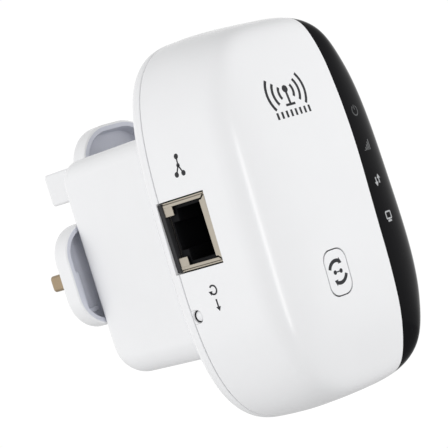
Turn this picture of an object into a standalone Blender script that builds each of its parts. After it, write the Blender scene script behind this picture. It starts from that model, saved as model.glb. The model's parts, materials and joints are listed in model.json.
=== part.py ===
"""A plug-in wifi range extender with a British plug, as separate solid pieces.

Frame: the origin lies on the rear face of the plug flange, midway between the live and neutral pins.
+Y points at the wall socket, -Y out of the front, +Z up, and +X to the right seen from the front.
All sizes below are in millimetres, and MM turns them into Blender's metres.
"""

import math

import bmesh
import bpy
from mathutils import Matrix, Vector

MM = 0.001
GAP = 0.3  # clearance between neighbouring pieces

# Body: an outline in X and Z, drawn forward from the seam and closed by a domed front.
HALF_WIDTH = 27.0
HALF_HEIGHTS = {"top": 44.9, "bottom": 43.5}
OUTLINE_POWERS = {"top": 3.5, "bottom": 3.15}
ROUNDER_WITHIN = 0.8  # inside this share of the outline, the front's rings turn into ellipses
TAPER = 0.001  # the body is a little narrower towards its top, per millimetre of height
OUTLINE_POINTS = 48
SEAM_Y = -40.0
FRONT_DEPTH = 26.75  # from the seam to the middle of the front face
# The front's rounding, as control rows of a spline: share of the outline left, and depth from the seam.
SIDE_PROFILE = (
    (1, 0), (0.992, 8), (0.981, 15), (0.963, 21.4), (0.783, 24.4), (0.55, 26.2), (0.27, 26.75), (0, 26.75)
)
END_PROFILE = (
    (1, 0), (1.0, 7), (0.982, 12.5), (0.96, 22.3), (0.835, 23.9), (0.55, 26.2), (0.27, 26.75), (0, 26.75)
)
DOME_ROWS = 10
WALL = 1.8
BACK_Y = -35.4
BACK_EDGE = 2.2
TONGUE = 1.0
TONGUE_Y = -41.4

# Plug block, moulded on the back cover.
BLOCK_HALF_WIDTH = 21.3
BLOCK_TOP = 26.4
BLOCK_BOTTOM = -25.7
BLOCK_REAR_Y = -4.9
BLOCK_DRAFT = 1.0
BLOCK_TOP_RADIUS = 4.0
BLOCK_BOTTOM_RADIUS = 5.5
BLOCK_WALL = 1.8
BLOCK_ROUND_STEPS = 5
BLOCK_BOTTOM_LIFT = 0.7  # how far the rear edges round in, as a share of the radius
BLOCK_TOP_DROP = 0.6

# Plug flange and pins, as in BS 1363.
FLANGE_DEPTH = 4.6
FLANGE_SKIRT = 1.8
BAR_HALF_WIDTH = 26.5
BAR_HALF_HEIGHT = 12.4
BAR_RADIUS = 8.0
STEM_HALF_WIDTH = 12.5
STEM_TOP = 33.2
STEM_RADIUS = 10.0
PIN_X = 11.1
PIN_SIZE = (6.35, 4.0)  # across X, across Z
PIN_LENGTH = 18.2
PIN_ROOT_Y = -9.0
PIN_NECK = 1.4  # how much thinner the brass is inside its sleeve
SLEEVE_LENGTH = 9.2
EARTH_Z = 22.23
EARTH_SIZE = (4.0, 8.0)
EARTH_LENGTH = 23.2

# Display window along the right edge of the front.
WINDOW_X = 12.2
WINDOW_BACK_Y = -53.0
WINDOW_END_YS = {"top": -60.0, "bottom": -57.4}
WINDOW_SWELL = 0.9  # how much wider the display window is below its middle
WINDOW_SWELL_FROM = 14.0
WINDOW_SWELL_OVER = 26.0
WINDOW_FLARE = 1.7  # how much its edge has moved over at 1 flare length past where a flare starts
WINDOW_FLARE_LENGTH = 12.0
WINDOW_FLARE_FROM = {"top": 29.0, "bottom": -25.0}

# Buttons.
PAIR_X, PAIR_Z = -6.3, -15.0
PAIR_SIZE = (6.8, 10.0)
PAIR_TRAVEL = 0.5
RESET_Z = -15.35
RESET_Y = -41.55
RESET_RADIUS = 1.3
RESET_TRAVEL = 0.5

# Network socket, open to the left.
SOCKET_Z = 2.75
SOCKET_SIZE = (16.3, 13.9)  # of its cut-out, along Z and along Y
SOCKET_LENGTH = 19.0
SOCKET_MOUTH_X = -26.2
SHIELD_WALL = 0.5
CAVITY_SIZE = (11.9, 7.6)
CAVITY_DEPTH = 13.0
LATCH_WIDTH = 6.4
LATCH_FLOOR = 0.5  # the moulding left behind the latch slot

# Boards.
BOARD = 1.6
MAIN_BOARD_Y = -38.2  # rear face of the main board
MAIN_BOARD_HALF_WIDTH = 22.4
MAIN_BOARD_Z = (-36.0, 37.0)
POWER_BOARD_Y = -12.6  # rear face of the power board
POWER_BOARD_HALF_WIDTH = 18.4
POWER_BOARD_Z = (-20.5, 21.5)
MAIN_SCREWS = ((-14.0, 27.5), (14.0, -28.0))  # X and Z of each
POWER_SCREWS = ((-15.2, 17.5), (15.2, -15.5))
LIGHT_X = 16.6
LED_ZS = (17.9, 9.7, 1.4, -7.1)

WHITE = ((0.86, 0.87, 0.88), 0.16, 0.0)
BLACK_GLOSS = ((0.008, 0.008, 0.01), 0.06, 0.0)
BLACK = ((0.02, 0.02, 0.022), 0.45, 0.0)
GREEN_BOARD = ((0.03, 0.16, 0.08), 0.4, 0.0)
NICKEL = ((0.62, 0.57, 0.5), 0.3, 1.0)
TIN = ((0.7, 0.7, 0.7), 0.35, 1.0)
BRASS = ((0.72, 0.53, 0.28), 0.3, 1.0)
GOLD = ((0.85, 0.62, 0.25), 0.25, 1.0)
STEEL = ((0.5, 0.5, 0.52), 0.3, 1.0)
CLEAR = ((0.8, 0.85, 0.9), 0.1, 0.0)
CERAMIC = ((0.12, 0.28, 0.5), 0.4, 0.0)
TAPE = ((0.75, 0.6, 0.12), 0.5, 0.0)
FERRITE = ((0.09, 0.085, 0.085), 0.6, 0.0)
RED_WIRE = ((0.5, 0.02, 0.02), 0.4, 0.0)


def remove_all():
    for item in list(bpy.data.objects):
        bpy.data.objects.remove(item, do_unlink=True)


def material(name, look):
    colour, roughness, metallic = look
    made = bpy.data.materials.new(name)
    made.use_nodes = True
    shader = made.node_tree.nodes["Principled BSDF"]
    shader.inputs["Base Color"].default_value = (*colour, 1.0)
    shader.inputs["Roughness"].default_value = roughness
    shader.inputs["Metallic"].default_value = metallic
    return made


def node(name, mesh, look, smooth=30.0):
    """One named piece from a bmesh whose lengths are in millimetres."""
    bmesh.ops.scale(mesh, vec=(MM, MM, MM), verts=mesh.verts)
    bmesh.ops.recalc_face_normals(mesh, faces=mesh.faces)
    data = bpy.data.meshes.new(name)
    mesh.to_mesh(data)
    mesh.free()
    data.shade_smooth()
    data.set_sharp_from_angle(angle=math.radians(smooth))
    made = bpy.data.objects.new(name, data)
    bpy.context.scene.collection.objects.link(made)
    if look:
        data.materials.append(material(name, look))
    return made


def cutter(name, mesh):
    made = node(name, mesh, None)
    made.hide_render = True
    made.display_type = "WIRE"
    return made


def boolean(target, tool, operation="DIFFERENCE"):
    step = target.modifiers.new(tool.name, "BOOLEAN")
    step.operation = operation
    step.solver = "EXACT"
    step.object = tool


def box(low, high, bevel=0.0, segments=2):
    """A block between two corners, with all its edges rounded if bevel is given."""
    mesh = bmesh.new()
    bmesh.ops.create_cube(mesh, size=1.0)
    middle = (Vector(low) + Vector(high)) / 2
    size = Vector(high) - Vector(low)
    bmesh.ops.scale(mesh, vec=size, verts=mesh.verts)
    bmesh.ops.translate(mesh, vec=middle, verts=mesh.verts)
    if bevel:
        bmesh.ops.bevel(
            mesh, geom=list(mesh.edges), offset=bevel, segments=segments, profile=0.5, affect="EDGES"
        )
    return mesh


def cylinder(centre, radius, low, high, axis="Y", sides=20):
    """A round bar along an axis, from low to high on it; centre gives the other two coordinates."""
    mesh = bmesh.new()
    bmesh.ops.create_cone(
        mesh, cap_ends=True, segments=sides, radius1=radius, radius2=radius, depth=high - low
    )
    middle = (low + high) / 2
    if axis == "Y":
        turn = Matrix.Rotation(math.radians(90), 4, "X")
        place = Vector((centre[0], middle, centre[1]))
    else:
        turn = Matrix.Rotation(math.radians(90), 4, "Y")
        place = Vector((middle, centre[0], centre[1]))
    bmesh.ops.transform(mesh, matrix=Matrix.Translation(place) @ turn, verts=mesh.verts)
    return mesh


def prism(outline, low_y, high_y):
    """An outline of (x, z) points drawn along Y."""
    return loft([[(x, y, z) for x, z in outline] for y in (low_y, high_y)])


def loft(rings, tip=None):
    """A closed skin through rings of points; the first is capped, and the last too unless it meets a tip."""
    mesh = bmesh.new()
    rows = [[mesh.verts.new(point) for point in ring] for ring in rings]
    count = len(rows[0])
    for near, far in zip(rows, rows[1:]):
        for i in range(count):
            j = (i + 1) % count
            mesh.faces.new((near[i], near[j], far[j], far[i]))
    mesh.faces.new(rows[0][::-1])
    if tip is None:
        mesh.faces.new(rows[-1])
    else:
        top = mesh.verts.new(tip)
        for i in range(count):
            mesh.faces.new((rows[-1][i], rows[-1][(i + 1) % count], top))
    return mesh


def shell_between(outer, inner):
    """A thin skin: two stacks of rings that end in tips, joined round their first rings."""
    mesh = bmesh.new()
    edges = []
    for rings, tip in (outer, inner):
        rows = [[mesh.verts.new(point) for point in ring] for ring in rings]
        top = mesh.verts.new(tip)
        count = len(rows[0])
        for i in range(count):
            j = (i + 1) % count
            for near, far in zip(rows, rows[1:]):
                mesh.faces.new((near[i], near[j], far[j], far[i]))
            mesh.faces.new((rows[-1][i], rows[-1][j], top))
        edges.append(rows[0])
    for i in range(len(edges[0])):
        j = (i + 1) % len(edges[0])
        mesh.faces.new((edges[0][i], edges[1][i], edges[1][j], edges[0][j]))
    return mesh


def signed_power(value, power):
    return math.copysign(abs(value) ** power, value)


def outline_point(angle, inset=0.0, share=1.0):
    """A point of the body's outline, moved inwards by inset. Rings with a smaller share are rounder."""
    end = "top" if math.sin(angle) >= 0 else "bottom"
    squareness = math.sin(math.pi / 2 * min(share / ROUNDER_WITHIN, 1.0))
    power = 2 / (2 + (OUTLINE_POWERS[end] - 2) * squareness)
    x = (HALF_WIDTH - inset) * signed_power(math.cos(angle), power)
    z = (HALF_HEIGHTS[end] - inset) * signed_power(math.sin(angle), power)
    return x * (1 - TAPER * z), z


def angles():
    return [2 * math.pi * i / OUTLINE_POINTS for i in range(OUTLINE_POINTS)]


def outline_ring(inset, y):
    return [(x, y, z) for x, z in (outline_point(angle, inset) for angle in angles())]


def sideness(angle):
    """1 along the body's sides, 0 at its top and bottom, smooth between."""
    part = min(max((math.cos(angle) ** 2 - 0.2) / 0.5, 0.0), 1.0)
    return part * part * (3 - 2 * part)


def spline_weights(t):
    """The weights of a profile's control rows at t, which runs from 0 at the seam to 1 at the middle."""
    count = len(SIDE_PROFILE)
    knots = [0.0] * 3 + [i / (count - 3) for i in range(count - 2)] + [1.0] * 3
    weights = [1.0 if knots[i] <= t < knots[i + 1] else 0.0 for i in range(count + 3)]
    for degree in (1, 2, 3):
        for i in range(count + 3 - degree):
            left = knots[i + degree] - knots[i]
            right = knots[i + degree + 1] - knots[i + 1]
            value = (t - knots[i]) / left * weights[i] if left else 0.0
            if right:
                value += (knots[i + degree + 1] - t) / right * weights[i + 1]
            weights[i] = value
    return weights[:count]


def dome_point(angle, weights, thickness):
    """A point of the front's skin: weights place it between the seam and the middle of the front."""
    side = sideness(angle)
    scale = depth = 0.0
    for weight, by_side, by_end in zip(weights, SIDE_PROFILE, END_PROFILE):
        scale += weight * (by_side[0] * side + by_end[0] * (1 - side))
        depth += weight * (by_side[1] * side + by_end[1] * (1 - side))
    x, z = outline_point(angle, thickness, scale)
    return x * scale, SEAM_Y - depth * (1 - thickness / FRONT_DEPTH), z * scale


def dome_rings(thickness):
    """The rings of the front cover's skin, from the seam to the front, and its middle point."""
    rings = [outline_ring(thickness, SEAM_Y)]
    for i in range(1, DOME_ROWS):
        weights = spline_weights(i / DOME_ROWS)
        rings.append([dome_point(angle, weights, thickness) for angle in angles()])
    return rings, (0.0, SEAM_Y - FRONT_DEPTH + thickness, 0.0)


def rounded_rectangle(half_width, low, high, radii, steps=4):
    """Corners of (x, z) counted from the lower right, anticlockwise; radii gives (lower, upper)."""
    points = []
    corners = (
        (half_width, low, radii[0], -90),
        (half_width, high, radii[1], 0),
        (-half_width, high, radii[1], 90),
        (-half_width, low, radii[0], 180),
    )
    for x, z, radius, start in corners:
        centre_x = x - math.copysign(radius, x)
        centre_z = z + radius if z == low else z - radius
        for i in range(steps + 1):
            angle = math.radians(start + 90 * i / steps)
            points.append((centre_x + radius * math.cos(angle), centre_z + radius * math.sin(angle)))
    return points


def pair_outline(grow):
    """The pairing button's outline: straight sides, and ends that arch."""
    half_width = PAIR_SIZE[0] / 2 + grow
    half_height = PAIR_SIZE[1] / 2 + grow
    flat = rounded_rectangle(half_width, -half_height, half_height, (2.6, 2.6), 4)
    return [(PAIR_X + x, PAIR_Z + z) for x, z in flat]


def window_edge(z):
    """Where the display window's edge on the front is, at height z."""
    part = min(max((WINDOW_SWELL_FROM - z) / WINDOW_SWELL_OVER, 0.0), 1.0)
    above = max(z - WINDOW_FLARE_FROM["top"], 0.0) / WINDOW_FLARE_LENGTH
    below = max(WINDOW_FLARE_FROM["bottom"] - z, 0.0) / WINDOW_FLARE_LENGTH
    return WINDOW_X - WINDOW_SWELL * part * part * (3 - 2 * part) - WINDOW_FLARE * (above**2 + below**2)


def window_tool(shrink, name):
    """What the display window takes out of the front cover."""
    rings = []
    for i in range(17):
        z = -46.0 + 92.0 * i / 16
        end_y = WINDOW_END_YS["top" if z >= 0 else "bottom"]
        back = WINDOW_BACK_Y + (end_y - WINDOW_BACK_Y) * (z / 44.0) ** 2 - shrink
        left = window_edge(z) + shrink
        rings.append([(left, back, z), (left, -80.0, z), (40.0, -80.0, z), (40.0, back, z)])
    return cutter(name, loft(rings))


def socket_cut():
    half = SOCKET_SIZE[0] / 2
    low = (-32.0, SEAM_Y - SOCKET_SIZE[1], SOCKET_Z - half)
    return cutter("socket_cut", box(low, (-22.0, SEAM_Y + 1.0, SOCKET_Z + half)))


def reset_cut(radius, name):
    """The U-shaped notch in the covers' edge that the reset button sits in."""
    mesh = bmesh.new()
    arc = [math.radians(180 * i / 8) for i in range(9)]
    profile = [(RESET_Y - radius * math.sin(a), RESET_Z + radius * math.cos(a)) for a in arc]
    profile += [(SEAM_Y + 2.0, RESET_Z - radius), (SEAM_Y + 2.0, RESET_Z + radius)]
    near = [mesh.verts.new((-32.0, y, z)) for y, z in profile]
    far = [mesh.verts.new((-22.0, y, z)) for y, z in profile]
    mesh.faces.new(near)
    mesh.faces.new(far[::-1])
    for i in range(len(profile)):
        j = (i + 1) % len(profile)
        mesh.faces.new((near[j], near[i], far[i], far[j]))
    return cutter(name, mesh)


def front_cover(socket, reset):
    made = node("front_cover", shell_between(dome_rings(0.0), dome_rings(WALL)), WHITE)
    boolean(made, socket)
    boolean(made, reset)
    boolean(made, window_tool(0.0, "window_cut"))
    boolean(made, cutter("pair_cut", prism(pair_outline(GAP), -70.0, -60.0)))
    return made


def side_window():
    made = node("side_window", shell_between(dome_rings(0.0), dome_rings(WALL)), BLACK_GLOSS)
    boolean(made, window_tool(GAP, "window_keep"), "INTERSECT")
    return made


def block_rings(wall):
    """The plug block's rings from inside the body to its rear end, rounded towards the rear."""
    rear = BLOCK_REAR_Y - wall
    front = SEAM_Y + 1.0 if wall else BACK_Y - 1.0
    rings = []
    turns = [math.radians(90 * i / BLOCK_ROUND_STEPS) for i in range(BLOCK_ROUND_STEPS + 1)]
    for y in [front] + [rear - BLOCK_BOTTOM_RADIUS * (1 - math.sin(turn)) for turn in turns]:
        draft = BLOCK_DRAFT * (rear - y) / (rear - front)
        near = max(0.0, 1 - (rear - y) / BLOCK_BOTTOM_RADIUS)
        lift = BLOCK_BOTTOM_RADIUS * (1 - math.sqrt(1 - near**2)) * BLOCK_BOTTOM_LIFT
        near_top = max(0.0, 1 - (rear - y) / BLOCK_TOP_RADIUS)
        drop = BLOCK_TOP_RADIUS * (1 - math.sqrt(1 - near_top**2)) * BLOCK_TOP_DROP
        radii = (BLOCK_BOTTOM_RADIUS - wall, BLOCK_TOP_RADIUS - wall * 0.8)
        flat = rounded_rectangle(
            BLOCK_HALF_WIDTH + draft - wall, BLOCK_BOTTOM + wall + lift, BLOCK_TOP - wall - drop, radii
        )
        rings.append([(x, y, z) for x, z in flat])
    return rings


def back_cover(socket, reset):
    """The shallow back with its tongue, joined to the hollow plug block."""
    plate = [(0.0, SEAM_Y + GAP), (0.1, -38.0), (0.7, -36.5), (BACK_EDGE, BACK_Y)]
    made = node("back_cover", loft([outline_ring(inset, y) for inset, y in plate]), WHITE)
    tongue_out = WALL + GAP
    tongue_in = tongue_out + TONGUE
    tongue = loft([outline_ring(tongue_out, y) for y in (TONGUE_Y, SEAM_Y + 2.0)])
    boolean(made, cutter("tongue", tongue), "UNION")
    boolean(made, cutter("block", loft(block_rings(0.0))), "UNION")
    hollow = loft([outline_ring(tongue_in, y) for y in (TONGUE_Y - 1.0, BACK_Y - WALL)])
    boolean(made, cutter("hollow", hollow))
    boolean(made, cutter("block_hollow", loft(block_rings(BLOCK_WALL))))
    boolean(made, socket)
    boolean(made, reset)
    for name, x, z, size in (
        ("live_hole", PIN_X, 0.0, PIN_SIZE),
        ("neutral_hole", -PIN_X, 0.0, PIN_SIZE),
    ):
        boolean(made, pin_hole(name, x, z, size, -9.0, 0.0))
    return made


def pin_hole(name, x, z, size, low_y, high_y):
    half_x = size[0] / 2 + GAP
    half_z = size[1] / 2 + GAP
    return cutter(name, box((x - half_x, low_y, z - half_z), (x + half_x, high_y, z + half_z)))


def flange_outline(inset):
    """A T turned upside down: the bar holds the live and neutral pins, the stem the earth pin."""
    bar = (BAR_HALF_WIDTH - inset, BAR_HALF_HEIGHT - inset, max(BAR_RADIUS - inset, 0.5))
    stem = (STEM_HALF_WIDTH - inset, STEM_TOP - inset, max(STEM_RADIUS - inset, 0.5))
    joint = 5.0 + inset
    right = [arc(bar[0] - bar[2], -bar[1] + bar[2], bar[2], -90, 0)]
    right.append(arc(bar[0] - bar[2], bar[1] - bar[2], bar[2], 0, 90))
    right.append(arc(stem[0] + joint, bar[1] + joint, joint, 270, 180))
    right.append(arc(stem[0] - stem[2], stem[1] - stem[2], stem[2], 0, 90))
    half = [point for part in right for point in part]
    return half + [(-x, z) for x, z in reversed(half)]


def arc(centre_x, centre_z, radius, start, stop, steps=5):
    points = []
    for i in range(steps + 1):
        angle = math.radians(start + (stop - start) * i / steps)
        points.append((centre_x + radius * math.cos(angle), centre_z + radius * math.sin(angle)))
    return points


def plug_flange():
    made = node("plug_flange", prism(flange_outline(0.0), -FLANGE_DEPTH, 0.0), WHITE)
    dish = prism(flange_outline(FLANGE_SKIRT), -FLANGE_DEPTH - 1.0, -FLANGE_SKIRT)
    boolean(made, cutter("flange_dish", dish))
    boolean(made, pin_hole("flange_live", PIN_X, 0.0, PIN_SIZE, -4.0, 1.0))
    boolean(made, pin_hole("flange_neutral", -PIN_X, 0.0, PIN_SIZE, -4.0, 1.0))
    boolean(made, pin_hole("flange_earth", 0.0, EARTH_Z, EARTH_SIZE, -4.0, 1.0))


def power_pin(name, x):
    """A brass pin, thinner where its insulating sleeve goes round it."""
    half_x, half_z = PIN_SIZE[0] / 2, PIN_SIZE[1] / 2
    neck_x, neck_z = half_x - PIN_NECK / 2, half_z - PIN_NECK / 2
    stations = (
        (PIN_ROOT_Y, half_x, half_z),
        (0.0, half_x, half_z),
        (0.0, neck_x, neck_z),
        (SLEEVE_LENGTH + 2 * GAP, neck_x, neck_z),
        (SLEEVE_LENGTH + 2 * GAP, half_x, half_z),
        (PIN_LENGTH - 1.0, half_x, half_z),
        (PIN_LENGTH, half_x - 0.8, half_z - 0.8),
    )
    rings = []
    for y, wide, high in stations:
        flat = rounded_rectangle(wide, -high, high, (0.6, 0.6), 2)
        rings.append([(x + a, y, b) for a, b in flat])
    node(name, loft(rings), BRASS)


def pin_sleeve(name, x):
    """The insulating collar on the half of a pin nearest the plug."""
    half_x, half_z = PIN_SIZE[0] / 2, PIN_SIZE[1] / 2
    low, high = GAP, GAP + SLEEVE_LENGTH
    outer = rounded_rectangle(half_x, -half_z, half_z, (0.6, 0.6), 2)
    made = node(name, prism([(x + a, b) for a, b in outer], low, high), BLACK)
    in_x, in_z = half_x - PIN_NECK / 2 + 0.15, half_z - PIN_NECK / 2 + 0.15
    bore = box((x - in_x, low - 1.0, -in_z), (x + in_x, high + 1.0, in_z))
    boolean(made, cutter(name + "_bore", bore))


def earth_pin():
    """The plastic earth pin, with a foot held between the flange and the block."""
    half_x, half_z = EARTH_SIZE[0] / 2, EARTH_SIZE[1] / 2
    rings = []
    for y, wide, high in (
        (-FLANGE_SKIRT - GAP, half_x, half_z),
        (EARTH_LENGTH - 1.2, half_x, half_z),
        (EARTH_LENGTH - 0.4, half_x - 0.4, half_z - 0.5),
        (EARTH_LENGTH, half_x - 1.0, half_z - 1.2),
    ):
        flat = rounded_rectangle(wide, EARTH_Z - high, EARTH_Z + high, (0.8, 0.8), 2)
        rings.append([(x, y, z) for x, z in flat])
    made = node("earth_pin", loft(rings), WHITE)
    foot = box((-half_x, -4.5, EARTH_Z - half_z), (half_x, -2.0, EARTH_Z + half_z), 0.3, 1)
    boolean(made, cutter("earth_foot", foot), "UNION")


def rj45_shield():
    """The socket's folded metal shield: a sleeve with a frame turned in round its mouth."""
    half = SOCKET_SIZE[0] / 2 - GAP
    top = SEAM_Y - GAP
    bottom = SEAM_Y - SOCKET_SIZE[1] + GAP
    end_x = SOCKET_MOUTH_X + SOCKET_LENGTH
    outer = box((SOCKET_MOUTH_X, bottom, SOCKET_Z - half), (end_x, top, SOCKET_Z + half))
    made = node("rj45_shield", outer, NICKEL)
    wall = SHIELD_WALL
    inside = box(
        (SOCKET_MOUTH_X + wall, bottom + wall, SOCKET_Z - half + wall),
        (end_x + 2.0, top - wall, SOCKET_Z + half - wall),
    )
    boolean(made, cutter("shield_inside", inside))
    mouth = box(
        (SOCKET_MOUTH_X - 1.0, bottom + 1.6, SOCKET_Z - half + 1.1),
        (SOCKET_MOUTH_X + 1.0, top - 2.4, SOCKET_Z + half - 1.1),
    )
    boolean(made, cutter("shield_mouth", mouth))
    latch = box(
        (SOCKET_MOUTH_X - 1.0, top - 3.0, SOCKET_Z - half + 3.2),
        (SOCKET_MOUTH_X + SHIELD_WALL + GAP, top + 1.0, SOCKET_Z + half - 3.2),
    )
    boolean(made, cutter("shield_latch", latch))


def socket_cavity_y():
    """The plug cavity's two walls along Y: the contacts' side and the latch's side."""
    contacts = SEAM_Y - SOCKET_SIZE[1] + GAP + SHIELD_WALL + GAP + 1.7
    return contacts, contacts + CAVITY_SIZE[1]


def rj45_insert():
    """The black moulding inside the shield, with the plug's cavity and the latch's slot."""
    half = SOCKET_SIZE[0] / 2 - GAP - SHIELD_WALL - GAP
    low_y = SEAM_Y - SOCKET_SIZE[1] + GAP + SHIELD_WALL + GAP
    high_y = SEAM_Y - GAP - SHIELD_WALL - GAP
    start = SOCKET_MOUTH_X + SHIELD_WALL + GAP
    end = SOCKET_MOUTH_X + SOCKET_LENGTH - 0.6
    body = box((start, low_y, SOCKET_Z - half), (end, high_y, SOCKET_Z + half))
    made = node("rj45_insert", body, BLACK)
    near, far = socket_cavity_y()
    half_cavity = CAVITY_SIZE[0] / 2
    cavity = box(
        (start - 1.0, near, SOCKET_Z - half_cavity),
        (start + CAVITY_DEPTH, far, SOCKET_Z + half_cavity),
    )
    boolean(made, cutter("plug_cavity", cavity))
    slot = box(
        (start - 1.0, far - 0.5, SOCKET_Z - LATCH_WIDTH / 2),
        (start + CAVITY_DEPTH - 3.0, high_y - LATCH_FLOOR, SOCKET_Z + LATCH_WIDTH / 2),
    )
    boolean(made, cutter("latch_slot", slot))


def rj45_contacts():
    """Eight sprung wires that lean out of the cavity's back wall."""
    near, _ = socket_cavity_y()
    start = SOCKET_MOUTH_X + SHIELD_WALL + GAP + 2.0
    reach = CAVITY_DEPTH - 3.0
    pitch, width, thickness = 1.02, 0.42, 0.35
    for i in range(8):
        z = SOCKET_Z + (i - 3.5) * pitch
        profile = [(start, near + GAP), (start + reach, near + 1.8)]
        mesh = bmesh.new()
        corners = []
        for x, y in profile:
            for lift in (0.0, thickness):
                for side in (-width / 2, width / 2):
                    corners.append(mesh.verts.new((x, y + lift, z + side)))
        for face in ((0, 1, 3, 2), (4, 6, 7, 5), (0, 4, 5, 1), (2, 3, 7, 6), (0, 2, 6, 4), (1, 5, 7, 3)):
            mesh.faces.new([corners[k] for k in face])
        node(f"rj45_contact_{i + 1}", mesh, GOLD)


def pairing_button():
    """The front button: a cap that follows the front face, and a stem down to its switch."""
    front = SEAM_Y - FRONT_DEPTH
    cap = prism(pair_outline(0.0), front + 0.35, front + 2.0)
    made = node("wps_button", cap, WHITE)
    stem_rear = SEAM_Y - 5.6
    stem = cylinder((PAIR_X, PAIR_Z), 1.6, front + 1.5, stem_rear, sides=12)
    boolean(made, cutter("pair_stem", stem), "UNION")
    flange = prism([(PAIR_X + x, PAIR_Z + z) for x, z in rounded_rectangle(4.6, -6.2, 6.2, (2, 2), 3)],
                   front + WALL + 1.0, front + WALL + 2.0)
    boolean(made, cutter("pair_flange", flange), "UNION")


def pairing_switch():
    face = MAIN_BOARD_Y - BOARD - GAP
    body = box((PAIR_X - 3, face - 3.4, PAIR_Z - 3), (PAIR_X + 3, face, PAIR_Z + 3), 0.2, 1)
    made = node("wps_switch_body", body, BLACK)
    bore_rear = face - 3.4 + PAIR_TRAVEL + GAP
    bore = cylinder((PAIR_X, PAIR_Z), 1.6 + GAP, face - 5.0, bore_rear, sides=14)
    boolean(made, cutter("wps_switch_bore", bore))
    plunger = cylinder((PAIR_X, PAIR_Z), 1.6, SEAM_Y - 5.3, face - 3.4, sides=14)
    node("wps_switch_plunger", plunger, ((0.3, 0.3, 0.3), 0.5, 0.0))


def reset_button_and_switch():
    """The reset button in its notch, and the side-pushed switch behind it."""
    cap = cylinder((RESET_Y, RESET_Z), RESET_RADIUS, -26.5, -23.6, "X", 16)
    node("reset_button", cap, WHITE)
    plunger = box((-23.3, RESET_Y - 0.7, RESET_Z - 1.1), (-21.0, RESET_Y + 0.7, RESET_Z + 1.1))
    node("reset_switch_plunger", plunger, ((0.5, 0.5, 0.5), 0.5, 0.0))
    face = MAIN_BOARD_Y - BOARD - GAP
    body = box((-21.0, face - 3.2, RESET_Z - 3), (-17.4, face, RESET_Z + 3), 0.2, 1)
    made = node("reset_switch_body", body, TIN)
    bore = box(
        (-22.0, RESET_Y - 0.7 - GAP, RESET_Z - 1.1 - GAP),
        (-21.0 + RESET_TRAVEL + GAP, RESET_Y + 0.7 + GAP, RESET_Z + 1.1 + GAP),
    )
    boolean(made, cutter("reset_switch_bore", bore))


def main_board():
    low, high = MAIN_BOARD_Z
    flat = rounded_rectangle(MAIN_BOARD_HALF_WIDTH, low, high, (13.0, 17.0), 6)
    made = node("main_pcb", prism(flat, MAIN_BOARD_Y - BOARD, MAIN_BOARD_Y), GREEN_BOARD)
    for i, (x, z) in enumerate(MAIN_SCREWS):
        hole = cylinder((x, z), 1.4, MAIN_BOARD_Y - BOARD - 1, MAIN_BOARD_Y + 1, sides=12)
        boolean(made, cutter(f"main_hole_{i + 1}", hole))
    return made


def screws_and_posts(cover):
    """Pan-head screws that hold the boards, and the posts on the back cover that they go into."""
    groups = (
        ("main_board_screw", MAIN_SCREWS, MAIN_BOARD_Y - BOARD, BACK_Y - 0.1, MAIN_BOARD_Y + GAP),
        ("power_board_screw", POWER_SCREWS, POWER_BOARD_Y - BOARD, BLOCK_REAR_Y - 1.0, POWER_BOARD_Y + GAP),
    )
    for name, places, face, root, top in groups:
        for i, (x, z) in enumerate(places):
            post = cylinder((x, z), 2.3, top, root, sides=14)
            boolean(cover, cutter(f"{name}_post_{i + 1}", post), "UNION")
            shank_end = min(face + 6.0, root - 0.6)
            hole = cylinder((x, z), 1.1 + GAP, top - 1.0, shank_end + GAP, sides=12)
            boolean(cover, cutter(f"{name}_hole_{i + 1}", hole))
            head = cylinder((x, z), 2.0, face - GAP - 1.4, face - GAP, sides=14)
            made = node(f"{name}_{i + 1}", head, STEEL)
            shank = cylinder((x, z), 1.05, face - GAP - 0.5, shank_end, sides=12)
            boolean(made, cutter(f"{name}_shank_{i + 1}", shank), "UNION")


def board_part(name, centre, size, face, height, look, bevel=0.15):
    """A block that stands on a board's front face: centre and size are along X and Z."""
    x, z = centre
    low = (x - size[0] / 2, face - GAP - height, z - size[1] / 2)
    high = (x + size[0] / 2, face - GAP, z + size[1] / 2)
    return node(name, box(low, high, bevel, 1), look)


def main_board_parts():
    face = MAIN_BOARD_Y - BOARD
    can = board_part("rf_shield_can", (6.0, 17.0), (19.0, 17.0), face, 2.6, TIN)
    room = box((-3.1, face - GAP - 2.2, 8.9), (15.1, face + 1.0, 25.1))
    boolean(can, cutter("can_room", room))
    board_part("wifi_chip", (6.0, 17.0), (9.0, 9.0), face, 0.9, BLACK)
    board_part("flash_chip", (12.0, -6.0), (5.2, 5.2), face, 1.7, BLACK)
    board_part("network_transformer", (2.6, 1.0), (8.0, 13.0), face, 4.2, BLACK)
    board_part("crystal", (11.5, 3.0), (3.2, 5.0), face, 1.2, TIN)
    for i, z in enumerate(LED_ZS):
        board_part(f"led_{i + 1}", (LIGHT_X, z), (1.6, 0.8), face, 0.7, CLEAR, 0.1)
    light_guide(face - GAP - 0.7 - GAP)


def light_guide(start):
    """Four clear bars that carry the light to the window, joined by a bridge."""
    made = node("light_guide", box((LIGHT_X - 1.1, -60.0, LED_ZS[0] - 1.1),
                                   (LIGHT_X + 1.1, start, LED_ZS[0] + 1.1)), CLEAR)
    for i, z in enumerate(LED_ZS[1:]):
        bar = box((LIGHT_X - 1.1, -60.0, z - 1.1), (LIGHT_X + 1.1, start, z + 1.1))
        boolean(made, cutter(f"light_bar_{i + 2}", bar), "UNION")
    bridge = box((LIGHT_X - 0.7, -56.0, LED_ZS[-1]), (LIGHT_X + 0.7, -53.5, LED_ZS[0]))
    boolean(made, cutter("light_bridge", bridge), "UNION")


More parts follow.
